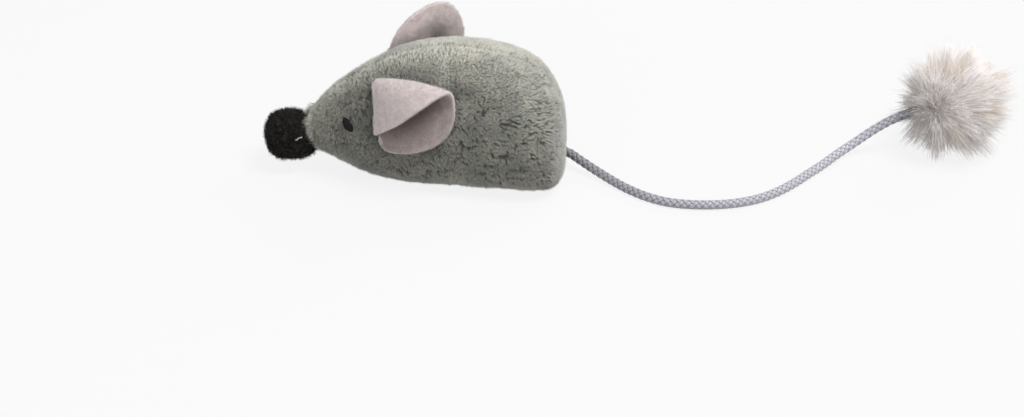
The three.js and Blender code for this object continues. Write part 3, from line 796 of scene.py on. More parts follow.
# The crinkles of the pile: curly lines, their size and bends, how far each sort is stretched along X,
# Y and Z, and how deep the valleys are
stroke_width = 0.00058
stroke_bend = 0.0006
stroke_bend_size = 0.0021
line_sharpness = 2.3
down_stretch = (1.0, 1.6, 2.6)
slant_stretch = (2.4, 1.4, 1.0)
slant_turn = np.array(((0.8, 0, 0.6), (0, 1, 0), (-0.6, 0, 0.8)))
level_stretch = (3.2, 1.6, 1.0)
crease_depth = 0.00030
crease_gather = 0.00024
crease_band = (-0.15, 0.85)
crease_patch_size = 0.0035
crease_patch_band = (-0.6, 0.3)
crease_patch_loss = 0.2
slope_step = 0.00008

# Where the lines turn from running down the flank to running along it
turn_height_share = 0.62
turn_height_reach = 0.008
turn_x = 0.004
turn_x_reach = 0.014
turn_mix = 0.8
turn_mix_size = 0.007
turn_band = (0.0, 1.2)

# The longer fibres round the end of the snout, over the nose, and where the tail leaves the seam
muzzle_fringe_fibres = 2600
muzzle_fringe_reach = 0.0026
muzzle_fringe_length = 0.0018
muzzle_fringe_angles = (-1.30 * math.pi, 0.30 * math.pi)
muzzle_fringe_flare = (-0.1, 0.45)
muzzle_fringe_sunk = 0.0003
exit_fringe_fibres = 500
exit_fringe_length = 0.0015
exit_fringe_ring_shares = (0.45, 0.75)
exit_fringe_flare = (-0.35, 0.3)
exit_fringe_sunk = 0.0012
fringe_bend = 0.25
fringe_curl = 1.6
fringe_length_spread = (0.4, 1.1)
fringe_taper = (1.0, 0.9, 0.5)
# The fringe's fibres are painted darker at their feet, for the shade there
fringe_tones = (0.35, 0.85, 1.1)
fringe_tone_spread = 0.12

side_low, side_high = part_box("side_panel_left")
eye_middles = [box_of(side + "_eye")[0] for side in ("left", "right")]
eye_room = 0.0021
rump_x = side_high.x
body_length = side_high.x - side_low.x
half_width = -side_low.y
body_height = side_high.z
fine_places = np.linspace(0, len(body_outline_shares) - 1, 4000)

# Where the pile shows less contrast, on the head, the back and the rump: how much is lost, and along
# which axis and between which places the loss sets in
contrast_losses = [
    (0.45, 0, -0.012, -0.026),
    (0.65, 2, 0.68 * body_height, 0.95 * body_height),
    (0.60, 0, 0.024, 0.031),
]


def sections(place):
    """x, half width, low, high and waist of the body's sections at these places on the outline."""
    along, half, top, bottom = (catmull_rom(column, place) for column in body_outline_shares.T)
    low = bottom * body_height - belly_flat_depth
    high = top * body_height
    waist = low + section_waist_share * (high - low)
    return rump_x - along * body_length, half * half_width, low, high, waist


def flank_at(x, z):
    """Half the body's width at these places."""
    place = np.interp(-x, -sections(fine_places)[0], fine_places)
    _, half, low, high, waist = sections(place)
    upper = z >= waist
    up = np.where(upper, (z - waist) / (high - waist), (waist - z) / np.maximum(waist - low, micron))
    power = np.where(upper, upper_roundness, lower_roundness) / 2
    return half * np.sqrt(1 - np.clip(up, 0, 1) ** (power * 2)) ** (1 / power)


def flank_place(side, x, z):
    """The point on the body's flank at x and z, and the normal there."""
    sign = -1 if side == "left" else 1
    steps = ((flank_step, 0), (0, flank_step))
    rises = [flank_at(x + a, z + b) - flank_at(x - a, z - b) for a, b in steps]
    slope_x, slope_z = (rise / (2 * flank_step) for rise in rises)
    return np.array((x, sign * flank_at(x, z), z)), unit(np.array((-slope_x, sign, -slope_z)))


def ring_line(place):
    """Half a section, from the top down the right side to the bottom: its x, y and z, and the height of
    the belly's seam."""
    x, half, low, high, waist = (value[0] for value in sections(np.array([place])))
    angle = np.linspace(0, math.pi, 500)
    up, out = np.cos(angle), np.sin(angle)
    power = 2 / np.where(up >= 0, upper_roundness, lower_roundness)
    reach = np.where(up >= 0, high - waist, waist - low)
    y = half * np.abs(out) ** power
    z = waist + reach * np.sign(up) * np.abs(up) ** power
    level = max(0.0, low) + skin_thickness * ramp(rump_x - x, 0, belly_seam_rise_length)
    return x, y, np.maximum(z, 0), level


def ring_places():
    """Places on the outline table at equal steps along the body."""
    x, half, low, high, _ = sections(fine_places)
    along = run_along(np.column_stack([x, half / 2, high / 2, low / 2]))
    inner = np.linspace(0, along[-1], round(along[-1] / grid_step))[1:-1]
    return np.interp(inner, along, fine_places)


def panel_grid(kind):
    """Points of one panel of plush, (rings, columns, 3): the left or right side, or the belly."""
    rows = []
    columns = round((belly_girth if kind == "belly" else side_girth) / grid_step)
    for place in ring_places():
        x, y, z, level = ring_line(place)
        line = np.column_stack([y, z])
        index = np.arange(len(line))
        split = np.interp(-level, -z, index)
        seam = [[np.interp(split, index, y), np.interp(split, index, z)]]
        if kind == "belly":
            half = np.concatenate([seam, line[index > split]])
            if np.linalg.norm(half[0] - half[-1]) < belly_least_width:
                continue
            ring = evenly(np.concatenate([half * (-1, 1), half[::-1][1:]]), columns)
        else:
            ring = evenly(np.concatenate([line[index < split], seam]), columns)
            ring[:, 0] *= -1 if kind == "left" else 1
        rows.append(np.column_stack([np.full(columns, x), ring]))
    return np.array(rows)


def grid_normals(grid, kind):
    normal = sheet_normals(grid)
    middle = normal[len(grid) // 2, grid.shape[1] // 2]
    if kind == "right" or (kind == "belly" and middle[2] > 0):
        normal = -normal
    outward = unit(grid * outward_stretch - (0, 0, section_waist_share * body_height))
    doubtful = (normal * outward).sum(-1, keepdims=True) < normal_least_share
    return np.where(doubtful, outward, normal)


def swirl(points, size, seed):
    """A smoothly changing vector at each point."""
    return np.stack([noise(points, size, seed + axis) for axis in range(3)], axis=-1)


def strokes(points, stretch, seed):
    """-1 between the lines and 1 on them: curly lines, longer along one axis."""
    bent = points + stroke_bend * swirl(points, stroke_bend_size, seed + 1)
    return 1 - 2 * np.minimum(1, np.abs(noise(bent / stretch, stroke_width, seed)) * line_sharpness)


def wave(points):
    """From -1 on a ridge of the crinkled pile to 1 in a valley: fine curly lines, which run down the
    flank behind the ears and along it towards the rump."""
    down = strokes(points, down_stretch, 100)
    slanting = strokes(points @ slant_turn.T, slant_stretch, 110)
    level = strokes(points, level_stretch, 120)
    turn = (points[..., 2] - turn_height_share * body_height) / turn_height_reach
    turn = turn - (points[..., 0] - turn_x) / turn_x_reach
    turn = turn + turn_mix * noise(points, turn_mix_size, 15)
    downward, sideways = ramp(turn, *turn_band), ramp(-turn, *turn_band)
    return down * downward + level * sideways + slanting * (1 - downward - sideways)


def deep_share(points):
    """The share of its full contrast that the pile shows."""
    share = 1.0
    for loss, axis, start, end in contrast_losses:
        share = share * (1 - loss * ramp(points[..., axis], start, end))
    return share


def crease(points):
    """How deep the pile is creased, from 0 to 1."""
    patches = ramp(noise(points, crease_patch_size, 16), *crease_patch_band)
    whole = 1 - crease_patch_loss + crease_patch_loss * patches
    return ramp(wave(points), *crease_band) * whole * deep_share(points)


def wave_slope(points):
    """The wave at these points, and how it rises along each axis."""
    here = wave(points)
    rises = [(wave(points + step) - here) / slope_step for step in np.eye(3) * slope_step]
    return here, np.stack(rises, axis=-1)


plush = plush_material()


def add_panel(kind):
    grid = panel_grid(kind)
    normal = grid_normals(grid, kind)
    deep = crease(grid)
    depth = pile_depth + crease_depth * deep
    edge = np.arange(grid.shape[1]) * grid_step
    to_seam = edge if kind != "belly" else np.minimum(edge, edge[::-1])
    depth += seam_depth * np.exp(-((to_seam / seam_reach) ** 2))[None]
    skin = grid - normal * depth[..., None]
    skin += normal * (skin_lump_height * noise(grid, skin_lump_size, 21))[..., None]
    skin[..., 2] = np.maximum(skin[..., 2], pile_depth * skin_least_share)
    rings, columns = grid.shape[:2]
    quads = grid_quads(np.arange(rings * columns).reshape(rings, columns))
    if kind == "right":
        quads = quads[:, ::-1]
    u, v = np.meshgrid(np.linspace(0, 1, rings), np.linspace(0, 1, columns), indexing="ij")
    corner_uv = np.column_stack([u.ravel(), v.ravel()])[quads.ravel()]
    # Painted shade on the skin in the creases
    tones = (skin_tone - skin_deep_shade * deep).ravel()
    name = "belly_panel" if kind == "belly" else "side_panel_" + kind
    piece = mesh_piece("plush_" + name, skin.reshape(-1, 3), quads, plush, tones, corner_uv)
    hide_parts(name)
    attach(piece, "body")
    for layer in range(belly_piles if kind == "belly" else side_piles):
        pile = add_pile(f"pile_{name}_{layer}", skin, normal)
        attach(pile, "body")


def add_pile(name, skin, normal):
    """Short fibres that stand on a panel, lean towards the rump and part along the creases."""
    along = np.linalg.norm(skin[1:, :-1] - skin[:-1, :-1], axis=-1)
    across = np.linalg.norm(skin[:-1, 1:] - skin[:-1, :-1], axis=-1)
    area = (along * across).ravel()
    cell = random.choice(len(area), strands_a_piece, p=area / area.sum())
    row, column = np.divmod(cell, skin.shape[1] - 1)
    u, v = random.random((2, strands_a_piece, 1))
    root, out = (
        grid[row, column] * (1 - u) * (1 - v) + grid[row + 1, column] * u * (1 - v)
        + grid[row, column + 1] * (1 - u) * v + grid[row + 1, column + 1] * u * v
        for grid in (skin, normal)
    )
    to_eyes = [np.linalg.norm(root - middle, axis=1) for middle in eye_middles]
    clear = np.minimum(*to_eyes) > eye_room
    root, out = root[clear], unit(out[clear])
    count = len(root)
    place = root + out * pile_depth
    deep = crease(place)
    height, slope = wave_slope(place)
    nap = np.array(nap_way) + nap_swirl * swirl(root, nap_swirl_size, 31)
    nap += random.normal(scale=nap_spread, size=(count, 3))
    nap -= out * (nap * out).sum(1, keepdims=True)
    slope -= out * (slope * out).sum(1, keepdims=True)
    gather = -unit(slope) * (crease_gather * (0.5 + 0.5 * height))[:, None]
    reach = pile_length * (1 - pile_short_share * deep[:, None])
    reach = reach * random.uniform(*pile_length_spread, (count, 1))
    tip = root + unit(out + nap * pile_lean) * reach + gather
    tip[:, 2] = np.maximum(tip[:, 2], least_height)
    lines = np.stack([root - out * pile_sunk, tip], axis=1)
    radii = np.full((count, 2), pile_radius) * random.uniform(*pile_radius_spread, (count, 1))
    # A painted highlight on the ridges, and painted shade in the creases and at the fibres' feet
    ridge_light = pile_ridge_light * ramp(-height, *ridge_band) * deep_share(place)
    shade = random.normal(scale=pile_tone_spread, size=count) - pile_deep_shade * deep + ridge_light
    root_tone = pile_root_tone - pile_root_deep_shade * deep
    tones = np.clip(np.column_stack([root_tone, 1.0 + shade]), 0, most_tone)
    return strand_piece(name, lines, radii, tones, plush)


def add_fringe(name, root, way, length):
    """Longer fibres at a seam, that lie over what comes out of it."""
    count = len(root)
    bend = random.normal(scale=fringe_bend, size=(count, 3))
    reach = length * random.uniform(*fringe_length_spread, (count, 1))
    middle = root + unit(way + bend) * reach * 0.5
    tip = middle + unit(way + fringe_curl * bend) * reach * 0.5
    tip[:, 2] = np.maximum(tip[:, 2], least_height)
    lines = np.stack([root, middle, tip], axis=1)
    radii = np.full((count, 3), pile_radius) * np.array(fringe_taper)
    shade = random.normal(scale=fringe_tone_spread, size=(count, 1))
    # Painted shade at the fibres' feet
    tones = np.clip(np.array(fringe_tones) + shade, 0, most_tone)
    piece = strand_piece(name, lines, radii, tones, plush)
    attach(piece, "body")


def add_muzzle_fringe():
    """Fibres round the end of the snout, over the nose."""
    count = muzzle_fringe_fibres
    snout = np.flatnonzero(sections(fine_places)[0] < side_low.x + muzzle_fringe_reach)
    x, half, low, high, _ = sections(fine_places[random.choice(snout, count)])
    angle = random.uniform(*muzzle_fringe_angles, count)
    y, z = half * np.cos(angle), (low + high) / 2 + (high - low) / 2 * np.sin(angle)
    out = unit(np.column_stack([np.zeros(count), np.cos(angle), np.sin(angle)]))
    root = np.column_stack([x, y, z]) - out * muzzle_fringe_sunk
    way = out * random.uniform(*muzzle_fringe_flare, (count, 1)) + np.array((-1.0, 0, 0))
    add_fringe("muzzle_fringe", root, way, muzzle_fringe_length)


def add_exit_fringe():
    """Fibres round the place where the tail leaves the seam."""
    count = exit_fringe_fibres
    angle = random.uniform(0, 2 * math.pi, count)
    ring = cord_diameter * random.uniform(*exit_fringe_ring_shares, count)
    sunk = np.full(count, -exit_fringe_sunk)
    offset = np.column_stack([sunk, ring * np.cos(angle), ring * np.sin(angle)])
    out = np.column_stack([np.zeros(count), np.cos(angle), np.sin(angle)])
    way = np.array((1.0, 0, 0)) + out * random.uniform(*exit_fringe_flare, (count, 1))
    add_fringe("tail_exit_fringe", np.array(tail_route[0]) + offset, way, exit_fringe_length)


for panel in ("left", "right", "belly"):
    add_panel(panel)
add_muzzle_fringe()
add_exit_fringe()

# The ears, each cut from felt and gathered to a point at the head. The left one is rolled into a cone
# whose cut edges lie over each other. The right one stands up as an open dish.

ear_length = 0.022
felt_thickness = 0.0011
ear_root_lift = 0.00085
ear_tip_share = 0.05
ear_columns = 150
ear_rows = 60
ear_voxel = 0.00022
ear_rounds = 6
fuzz_length = 0.0005
fuzz_length_spread = (0.3, 0.8)
fuzz_radius = 0.000022
fuzz_sunk = 0.00003
fuzz_spread = 0.8
fuzz_straight = 0.3
ear_fuzz = 9000
ear_stitch_voxel = 0.0001

# Heights and sizes of the felt's lumps, coarse and fine
felt_lumps = ((0.00006, 0.0011, 41), (0.00003, 0.0004, 42))

# Where each ear's point is, along the body from the rump and up, and its rim from there: towards the
# rump, away from the middle of the mouse and up, as shares of the ear's length
ear_root_shares = {"left": (0.73, 0.79), "right": (0.70, 0.69)}
ear_rim_shares = {
    "left": [
        (0.03, 0.39, -0.48),
        (0.28, 0.58, -0.25),
        (0.52, 0.66, -0.02),
        (0.75, 0.60, 0.12),
        (0.86, 0.49, 0.09),
        (0.90, 0.46, -0.07),
        (0.89, 0.50, -0.25),
        (0.81, 0.52, -0.43),
        (0.66, 0.51, -0.57),
        (0.44, 0.46, -0.67),
        (0.22, 0.40, -0.70),
        (0.11, 0.35, -0.66),
        (0.09, 0.31, -0.57),
    ],
    "right": [
        (0.07, -0.07, 0.12),
        (0.16, -0.09, 0.38),
        (0.32, -0.02, 0.55),
        (0.52, 0.11, 0.63),
        (0.69, 0.25, 0.60),
        (0.80, 0.34, 0.50),
        (0.88, 0.40, 0.33),
        (0.91, 0.42, 0.15),
        (0.87, 0.43, -0.05),
        (0.66, 0.37, -0.20),
        (0.42, 0.19, -0.15),
        (0.17, 0.07, -0.07),
    ],
}
left_ear_swell = 0.0010
left_ear_round = 0.5
right_ear_swell = 0.0036
right_ear_round = 0.8

# The right ear's dent: its depth, where it is from the point to the rim and round the ear, and its
# size, then how much painted shade lies in it and the size of that shade in the same shares
ear_dent = 0.0042
ear_dent_share = 0.60
ear_dent_round_share = 0.66
ear_dent_reach_shares = (0.17, 0.20)
dent_shade = 0.25
dent_shade_reach_shares = (0.20, 0.22)

# Where the left ear's rolled edges lie over each other round the ear, and how far the felt stands off
# the head, as shares of its thickness
overlap_band = (0.42, 0.30)
felt_off_head_share = 0.8
overlap_lift_share = 1.1

# The painted shade inside the left ear's roll: through the felt, and from the point towards the rim
roll_shade_band = (-0.0002, 0.0003)
roll_light_band = (0.45, 0.98)

felt = felt_material()
black_thread = thread_material("black_thread", thread_black, 0.7, 0.12)
grey_thread = thread_material("seam_thread", thread_grey, 0.7)
thread_sides = 8


def dent_fade(share, round_share, reach_shares):
    """1 in the middle of the right ear's dent, and less the farther a place is from it."""
    far = ((share - ear_dent_share) / reach_shares[0]) ** 2
    return np.exp(-far - ((round_share - ear_dent_round_share) / reach_shares[1]) ** 2)


def ear_sheet(side):
    """The middle of the felt, (rows, columns, 3), from the point at the head to the rim, and its
    normals."""
    sign = -1 if side == "left" else 1
    along, up = ear_root_shares[side]
    root, out = flank_place(side, rump_x - along * body_length, up * body_height)
    root = root + out * ear_root_lift
    rim = root + np.array(ear_rim_shares[side]) * (1, sign, 1) * ear_length
    rim = evenly(catmull_rom(rim, np.linspace(0, len(rim) - 1, 1200)), ear_columns)
    share = np.linspace(ear_tip_share, 1, ear_rows)[:, None, None]
    round_share = np.linspace(0, 1, ear_columns)[None, :, None]
    sheet = root + (rim - root)[None] * share
    normal = sheet_normals(sheet)
    swell = np.sin(math.pi * share)
    layer = 0.0
    if side == "right":
        mouth = unit(normal[-1].sum(0))
        mouth *= -np.sign(mouth[1])
        swell = swell * np.sin(math.pi * round_share) ** right_ear_round
        dent = dent_fade(share, round_share, ear_dent_reach_shares)
        sheet = sheet + mouth * (right_ear_swell * swell - ear_dent * dent)
    else:
        swell = swell * np.sin(math.pi * round_share) ** left_ear_round
        sheet = sheet + normal * left_ear_swell * swell * ear_side(normal, rim)
        layer = ramp(round_share[..., 0], *overlap_band)
    least = flank_at(sheet[..., 0], sheet[..., 2]) + felt_thickness * felt_off_head_share
    least = least + layer * felt_thickness * overlap_lift_share
    sheet[..., 1] = sign * np.maximum(sign * sheet[..., 1], least)
    return sheet, sheet_normals(sheet)


def ear_side(normal, rim):
    """1 where the felt's normals point out of the roll, and otherwise -1."""
    return np.sign(((rim - rim.mean(0)) * normal[-1]).sum())


def thick_sheet(name, sheet, normal, thickness):
    """A closed mesh round a sheet's middle."""
    rows, columns = sheet.shape[:2]
    offset = normal * thickness / 2
    points = np.concatenate([sheet + offset, sheet - offset]).reshape(-1, 3)
    front = np.arange(rows * columns).reshape(rows, columns)
    back = front + rows * columns
    faces = [*grid_quads(front).tolist(), *grid_quads(back)[:, ::-1].tolist()]
    edges = [
        (front[0], back[0]),
        (back[-1], front[-1]),
        (back[:, 0], front[:, 0]),
        (front[:, -1], back[:, -1]),
    ]
    for first, second in edges:
        faces.extend(np.column_stack([first[:-1], first[1:], second[1:], second[:-1]]).tolist())
    mesh = bpy.data.meshes.new(name)
    mesh.from_pydata(points.tolist(), [], faces)
    return mesh


def ear_tones(side, points, sheet, normal):
    """Painted shade on the felt, as a tone: darker deep inside the roll, and in the dent."""
    rows, columns = sheet.shape[:2]
    tree = kdtree.KDTree(rows * columns)
    for index, place in enumerate(sheet.reshape(-1, 3)):
        tree.insert(place, index)
    tree.balance()
    nearest = np.array([tree.find(place)[1] for place in points])
    row, column = np.divmod(nearest, columns)
    if side == "right":
        return 1 - dent_shade * dent_fade(row / rows, column / columns, dent_shade_reach_shares)
    above = ((points - sheet[row, column]) * normal[row, column]).sum(1)
    inner = ramp(-above * ear_side(normal, sheet[-1]), *roll_shade_band)
    return 1 - inner * (0.5 + 0.5 * (1 - ramp(row / rows, *roll_light_band)))


def add_ear(side):
    body = "ear_" + side
    sheet, normal = ear_sheet(side)
    rough = thick_sheet("felt_ear_rough_" + side, sheet, normal, felt_thickness)
    ear = softened("felt_ear_" + side, rough, ear_voxel, ear_rounds, felt)
    points, normals = coordinates(ear.data), coordinates(ear.data, "normal")
    lift = sum(height * noise(points, size, seed) for height, size, seed in felt_lumps)
    set_coordinates(ear.data, points + normals * lift[:, None])
    set_tone(ear.data, ear_tones(side, points, sheet, normal))
    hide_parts(side + "_ear")
    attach(ear, body)
    root, out = scattered(ear.data, ear_fuzz)
    bend = unit(random.normal(size=(ear_fuzz, 3)))
    middle = root + unit(out + fuzz_spread * bend) * fuzz_length * 0.5
    reach = random.uniform(*fuzz_length_spread, (ear_fuzz, 1))
    tip = middle + unit(out * fuzz_straight + bend) * fuzz_length * reach
    lines = np.stack([root - out * fuzz_sunk, middle, tip], axis=1)
    radii = np.full((ear_fuzz, 3), fuzz_radius)
    # The fuzz takes the felt's painted shade where it stands
    tones = np.repeat(ear_tones(side, root, sheet, normal)[:, None], 3, axis=1)
    fuzz = strand_piece("felt_fuzz_" + side, lines, radii, tones, felt)
    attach(fuzz, body)
    knot = soft_copy("ear_stitch_" + side, side + "_ear_stitch", ear_stitch_voxel, 2, black_thread)
    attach(knot, body)


for side in ("left", "right"):
    add_ear(side)

# The nose: a lumpy ball, drawn out and lowered where it goes into the snout, with curled fibres

nose_fibre = fibre_material("black_fibre", fibre_black, fibre_grey, 0.0009)
nose_voxel = 0.00025
nose_rounds = 14
nose_lumps = ((0.00022, 0.0018, 51), (0.00010, 0.0007, 52))
nose_sunk = 0.0004
nose_corner_rise = 0.00008
nose_tail_length = 0.0018
nose_taper_share = 0.20
nose_droop = 0.0007
nose_fibres = 8500
nose_fibre_length = 0.0011
nose_fibre_length_spread = (0.5, 1.1)
nose_fibre_radius = 0.000035
nose_fibre_radius_spread = (0.7, 1.3)
nose_fibre_sunk = 0.00005
nose_shade_power = 5
nose_most_shade = 3.0

# The parts of a nose fibre: how far it goes straight out, along its own curl and along a second one, and
# its share of the length
nose_fibre_parts = [(1.0, 0.9, 0.0, 0.4), (0.4, 1.0, 0.6, 0.4), (-0.2, 0.4, 1.0, 0.35)]

# The loose end of pale thread: its place on the ball, in degrees and shares of the ball's radii
thread_end_angle = 15
thread_end_turn = 20
thread_end_x_share = 0.8
thread_end_forward = 0.0009
thread_end_z_share = 0.29
thread_end_rise_share = 0.06
thread_end_sway = 0.0003
thread_end_radius = 0.00008


def add_nose():
    nose = soft_copy("nose_ball", "nose_pompom", nose_voxel, nose_rounds, nose_fibre)
    mesh = nose.data
    points, normals = coordinates(mesh), coordinates(mesh, "normal")
    lumps = sum(height * noise(points, size, seed) for height, size, seed in nose_lumps) - nose_sunk
    middle = points.mean(axis=0)
    angle = np.arctan2(points[:, 2] - middle[2], points[:, 0] - middle[0])
    lumps -= nose_corner_rise * np.cos(4 * angle)
    offset = points + normals * lumps[:, None] - middle
    back = np.clip(offset[:, 0] / offset[:, 0].max(), 0, 1)
    offset[:, 0] += nose_tail_length * back
    offset[:, 1:] *= 1 - nose_taper_share * back[:, None] ** 2
    offset[:, 2] -= nose_droop * back
    set_coordinates(mesh, middle + offset)
    set_tone(mesh, np.zeros(len(points)))
    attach(nose, "body")
    count = nose_fibres
    root, out = scattered(mesh, count)
    first, second = (unit(random.normal(size=(count, 3))) for _ in range(2))
    reach = nose_fibre_length * random.uniform(*nose_fibre_length_spread, (count, 1))
    places = [root]
    for straight, curl, turn, share in nose_fibre_parts:
        way = unit(out * straight + first * curl + second * turn)
        places.append(places[-1] + way * reach * share)
    lines = np.stack([root - out * nose_fibre_sunk, *places[1:]], axis=1)
    thickness = random.uniform(*nose_fibre_radius_spread, (count, 1))
    radii = np.full((count, 4), nose_fibre_radius) * thickness
    shade = random.random(count) ** nose_shade_power * nose_most_shade
    tones = np.repeat(shade[:, None], 4, axis=1)
    fibres = strand_piece("nose_fibres", lines, radii, tones, nose_fibre)
    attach(fibres, "body")


def add_thread_end():
    """A loose end of pale thread that shows between the fibres of the nose."""
    middle, size = box_of("nose_pompom")
    radius = size / 2
    share = np.linspace(0, 1, 24)
    angle = math.radians(thread_end_angle) + math.radians(thread_end_turn) * share
    x = radius[0] * np.sin(angle) * thread_end_x_share + thread_end_forward
    z = radius[2] * (thread_end_z_share + thread_end_rise_share * share)
    line = middle + np.column_stack([x, -radius[1] * np.cos(angle), z])
    line[:, 1] -= thread_end_sway * np.sin(share * 9)
    across, beside = frames_along(line)
    points, faces = tube(line, thread_end_radius, thread_end_radius, thread_sides, across, beside)
    pale = thread_material("pale_thread", thread_pale, 0.5)
    thread = mesh_piece("nose_thread_end", points, faces, pale)
    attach(thread, "body")


add_nose()
add_thread_end()

# The eyes, satin stitches side by side over a small mound of plush

eye_threads = 9
eye_thread_radius = 0.00026
eye_tilt = math.radians(41)
eye_rise = 0.0004
eye_length_share = 1.25
eye_width_share = 0.50
eye_end_share = 0.72
eye_end_power = 1.7
eye_arch = 0.0007
eye_wobble = 0.00005


def add_eye(side):
    middle, size = box_of(side + "_eye")
    middle, out = flank_place(side, middle[0], middle[2])
    centre = middle + out * eye_rise
    up = unit(np.array((0.0, 0.0, 1.0)) - out * out[2])
    beside = np.cross(out, up)
    if beside[0] < 0:
        beside = -beside
    long_way = unit(up * math.cos(eye_tilt) - beside * math.sin(eye_tilt))
    short_way = np.cross(out, long_way)
    half_long = size[2] / 2 * eye_length_share
    half_short = half_long * eye_width_share
    share = np.linspace(-1, 1, 15)
    parts = []
    for thread in range(eye_threads):
        offset = (thread - (eye_threads - 1) / 2) / (eye_threads / 2)
        reach = half_long * (1 - eye_end_share * abs(offset) ** eye_end_power)
        arch = np.sqrt(np.clip(1 - share**2, 0, 1)) * eye_arch * (1 - 0.5 * offset**2)
        wobble = eye_wobble * np.sin(share * 3 + thread * 2)
        line = (
            centre
            + long_way * (share * reach)[:, None]
            + short_way * (offset * half_short + wobble)[:, None]
            + out * arch[:, None]
        )
        across, over = frames_along(line)
        parts.append(tube(line, eye_thread_radius, eye_thread_radius, thread_sides, across, over))
    points, faces = joined(parts)
    eye = mesh_piece("stitched_eye_" + side, points, faces, black_thread)
    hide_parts(side + "_eye")
    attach(eye, "body")


for side in ("left", "right"):
    add_eye(side)

# The pompom: long soft fibres in tufts over a shorter undercoat, round a small core

fur = fur_material()
tufts = 100
strands_a_tuft = 70
under_strands = 8800
fur_length_share = 1.04
under_length_share = 0.86
fur_radius = 0.00007
fur_origin_share = 0.38
fur_core_share = 0.8
under_core_share = 0.9
fur_flat_height = 0.0012
fur_least_height = 0.00012
fur_most_tone = 1.1
# The core is painted dark, for the shade deep in the fur
fur_core_voxel = 0.0004
fur_core_painted_shade_tone = 0.1
fur_gather = 0.55
fur_gather_power = 1.5
# Where round the pompom the fibres take the painted shade by the cord
cord_shade_band = (0.45, 1.0)

# A tuft's length, shade and bend: the middle, how far they spread, and the limits
tuft_lengths = (1.02, 0.11)
tuft_length_limits = (0.85, 1.22)
tuft_shades = (0.0, 0.12)
tuft_bend_spread = 0.10
tuft_sag = (0.0, 0.0, -0.05)
tuft_width = 0.13

# Each layer's fibres: lengths, bend, thicknesses, the taper and the tones from foot to tip, with a
# painted shade at the foot, how far the random shade spreads, and how much painted shade they get by the
# cord
long_fur = {
    "lengths": (0.78, 1.06),
    "bend": 0.06,
    "thicknesses": (0.7, 1.25),
    "taper": (0.75, 1.0, 1.0, 0.85, 0.6, 0.3),
    "tones": (0.9, 0.95, 1.0, 1.0, 1.0, 1.05),
    "shade_spread": 0.10,
    "cord_shade": 0.5,
}
under_fur = {
    "lengths": (0.7, 1.1),
    "bend": 0.18,
    "thicknesses": (0.8, 1.3),
    "taper": (1.0, 1.0, 0.9, 0.7, 0.3),
    "tones": (0.85, 0.9, 0.95, 1.0, 1.0),
    "shade_spread": 0.12,
    "cord_shade": 0.4,
}

pompom_centre, pompom_size = box_of("pompom_fur")
pompom_radius = pompom_size[0] / 2
pompom_centre[2] = pompom_size[2] - pompom_radius
pompom_core = box_of("pompom_core")[1][0] / 2 * fur_core_share
pompom_cord_way = unit(joint_places["pompom_flop"] - pompom_centre)
fur_origin = pompom_centre + pompom_cord_way * fur_origin_share * pompom_radius


def on_sphere(count):
    """Directions spread evenly over a ball."""
    index = np.arange(count) + 0.5
    height = 1 - 2 * index / count
    angle = index * math.pi * (1 + 5**0.5)
    flat = np.sqrt(1 - height**2)
    return np.stack([flat * np.cos(angle), flat * np.sin(angle), height], axis=1)


def fur_lines(core, ways, reach, steps, bend, gather):
    """Curved fibres from round the origin out to a ball round the centre. gather pulls the tips towards
    their tuft's own line."""
    share = np.linspace(0, 1, steps)[None, :, None]
    reach = reach[:, None, None]
    start = fur_origin + ways[:, None] * core
    end = pompom_centre + ways[:, None] * (core + reach)
    lines = start + (end - start) * share
    lines += bend[:, None] * (reach * share**2)
    if gather is not None:
        middle = pompom_centre + gather[:, None] * (core + reach * share)
        lines += (middle - lines) * (fur_gather * share**fur_gather_power)
    height = lines[..., 2]
    under = np.minimum(height, fur_flat_height) - fur_flat_height
    flat = fur_flat_height * np.exp(under / fur_flat_height)
    height = np.where(height < fur_flat_height, flat, height)
    lines[..., 2] = np.maximum(height, fur_least_height)
    return lines


def add_fur(name, look, core, ways, reach, bend, shade, gather=None, node=None):
    """One layer of the pompom's fibres. They leave the core along ways."""
    count = len(ways)
    reach = reach * random.uniform(*look["lengths"], count)
    bend = bend + random.normal(scale=look["bend"], size=(count, 3))
    lines = fur_lines(core, ways, reach, len(look["taper"]), bend, gather)
    thickness = random.uniform(*look["thicknesses"], (count, 1))
    radii = fur_radius * np.array(look["taper"]) * thickness
    shade = shade + random.normal(scale=look["shade_spread"], size=count)
    # Painted shade on the fibres near the cord
    shade = shade - look["cord_shade"] * ramp(ways @ pompom_cord_way, *cord_shade_band)
    tones = np.clip(np.array(look["tones"]) + shade[:, None], 0, fur_most_tone)
    piece = strand_piece(name, lines, radii, tones, fur)
    if node:
        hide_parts(node)
    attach(piece, "pompom")


def add_pompom():
    tuft_ways = on_sphere(tufts)
    tuft_reach = np.clip(random.normal(*tuft_lengths, tufts), *tuft_length_limits)
    tuft_shade = random.normal(*tuft_shades, tufts)
    tuft_bend = random.normal(scale=tuft_bend_spread, size=(tufts, 3)) + np.array(tuft_sag)
    which = np.repeat(np.arange(tufts), strands_a_tuft)
    ways = unit(tuft_ways[which] + random.normal(scale=tuft_width, size=(len(which), 3)))
    reach = (pompom_radius * fur_length_share - pompom_core) * tuft_reach[which]
    add_fur(
        "pompom_long_fur", long_fur, pompom_core, ways, reach, tuft_bend[which], tuft_shade[which],
        gather=tuft_ways[which], node="pompom_fur",
    )

    ways = unit(random.normal(size=(under_strands, 3)))
    reach = pompom_radius * under_length_share - pompom_core
    add_fur("pompom_under_fur", under_fur, pompom_core * under_core_share, ways, reach, 0.0, 0.0)

    middle = soft_copy("pompom_middle", "pompom_core", fur_core_voxel, 3, fur)
    # The core's painted shade
    set_tone(middle.data, np.full(len(middle.data.vertices), fur_core_painted_shade_tone))
    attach(middle, "pompom")


add_pompom()

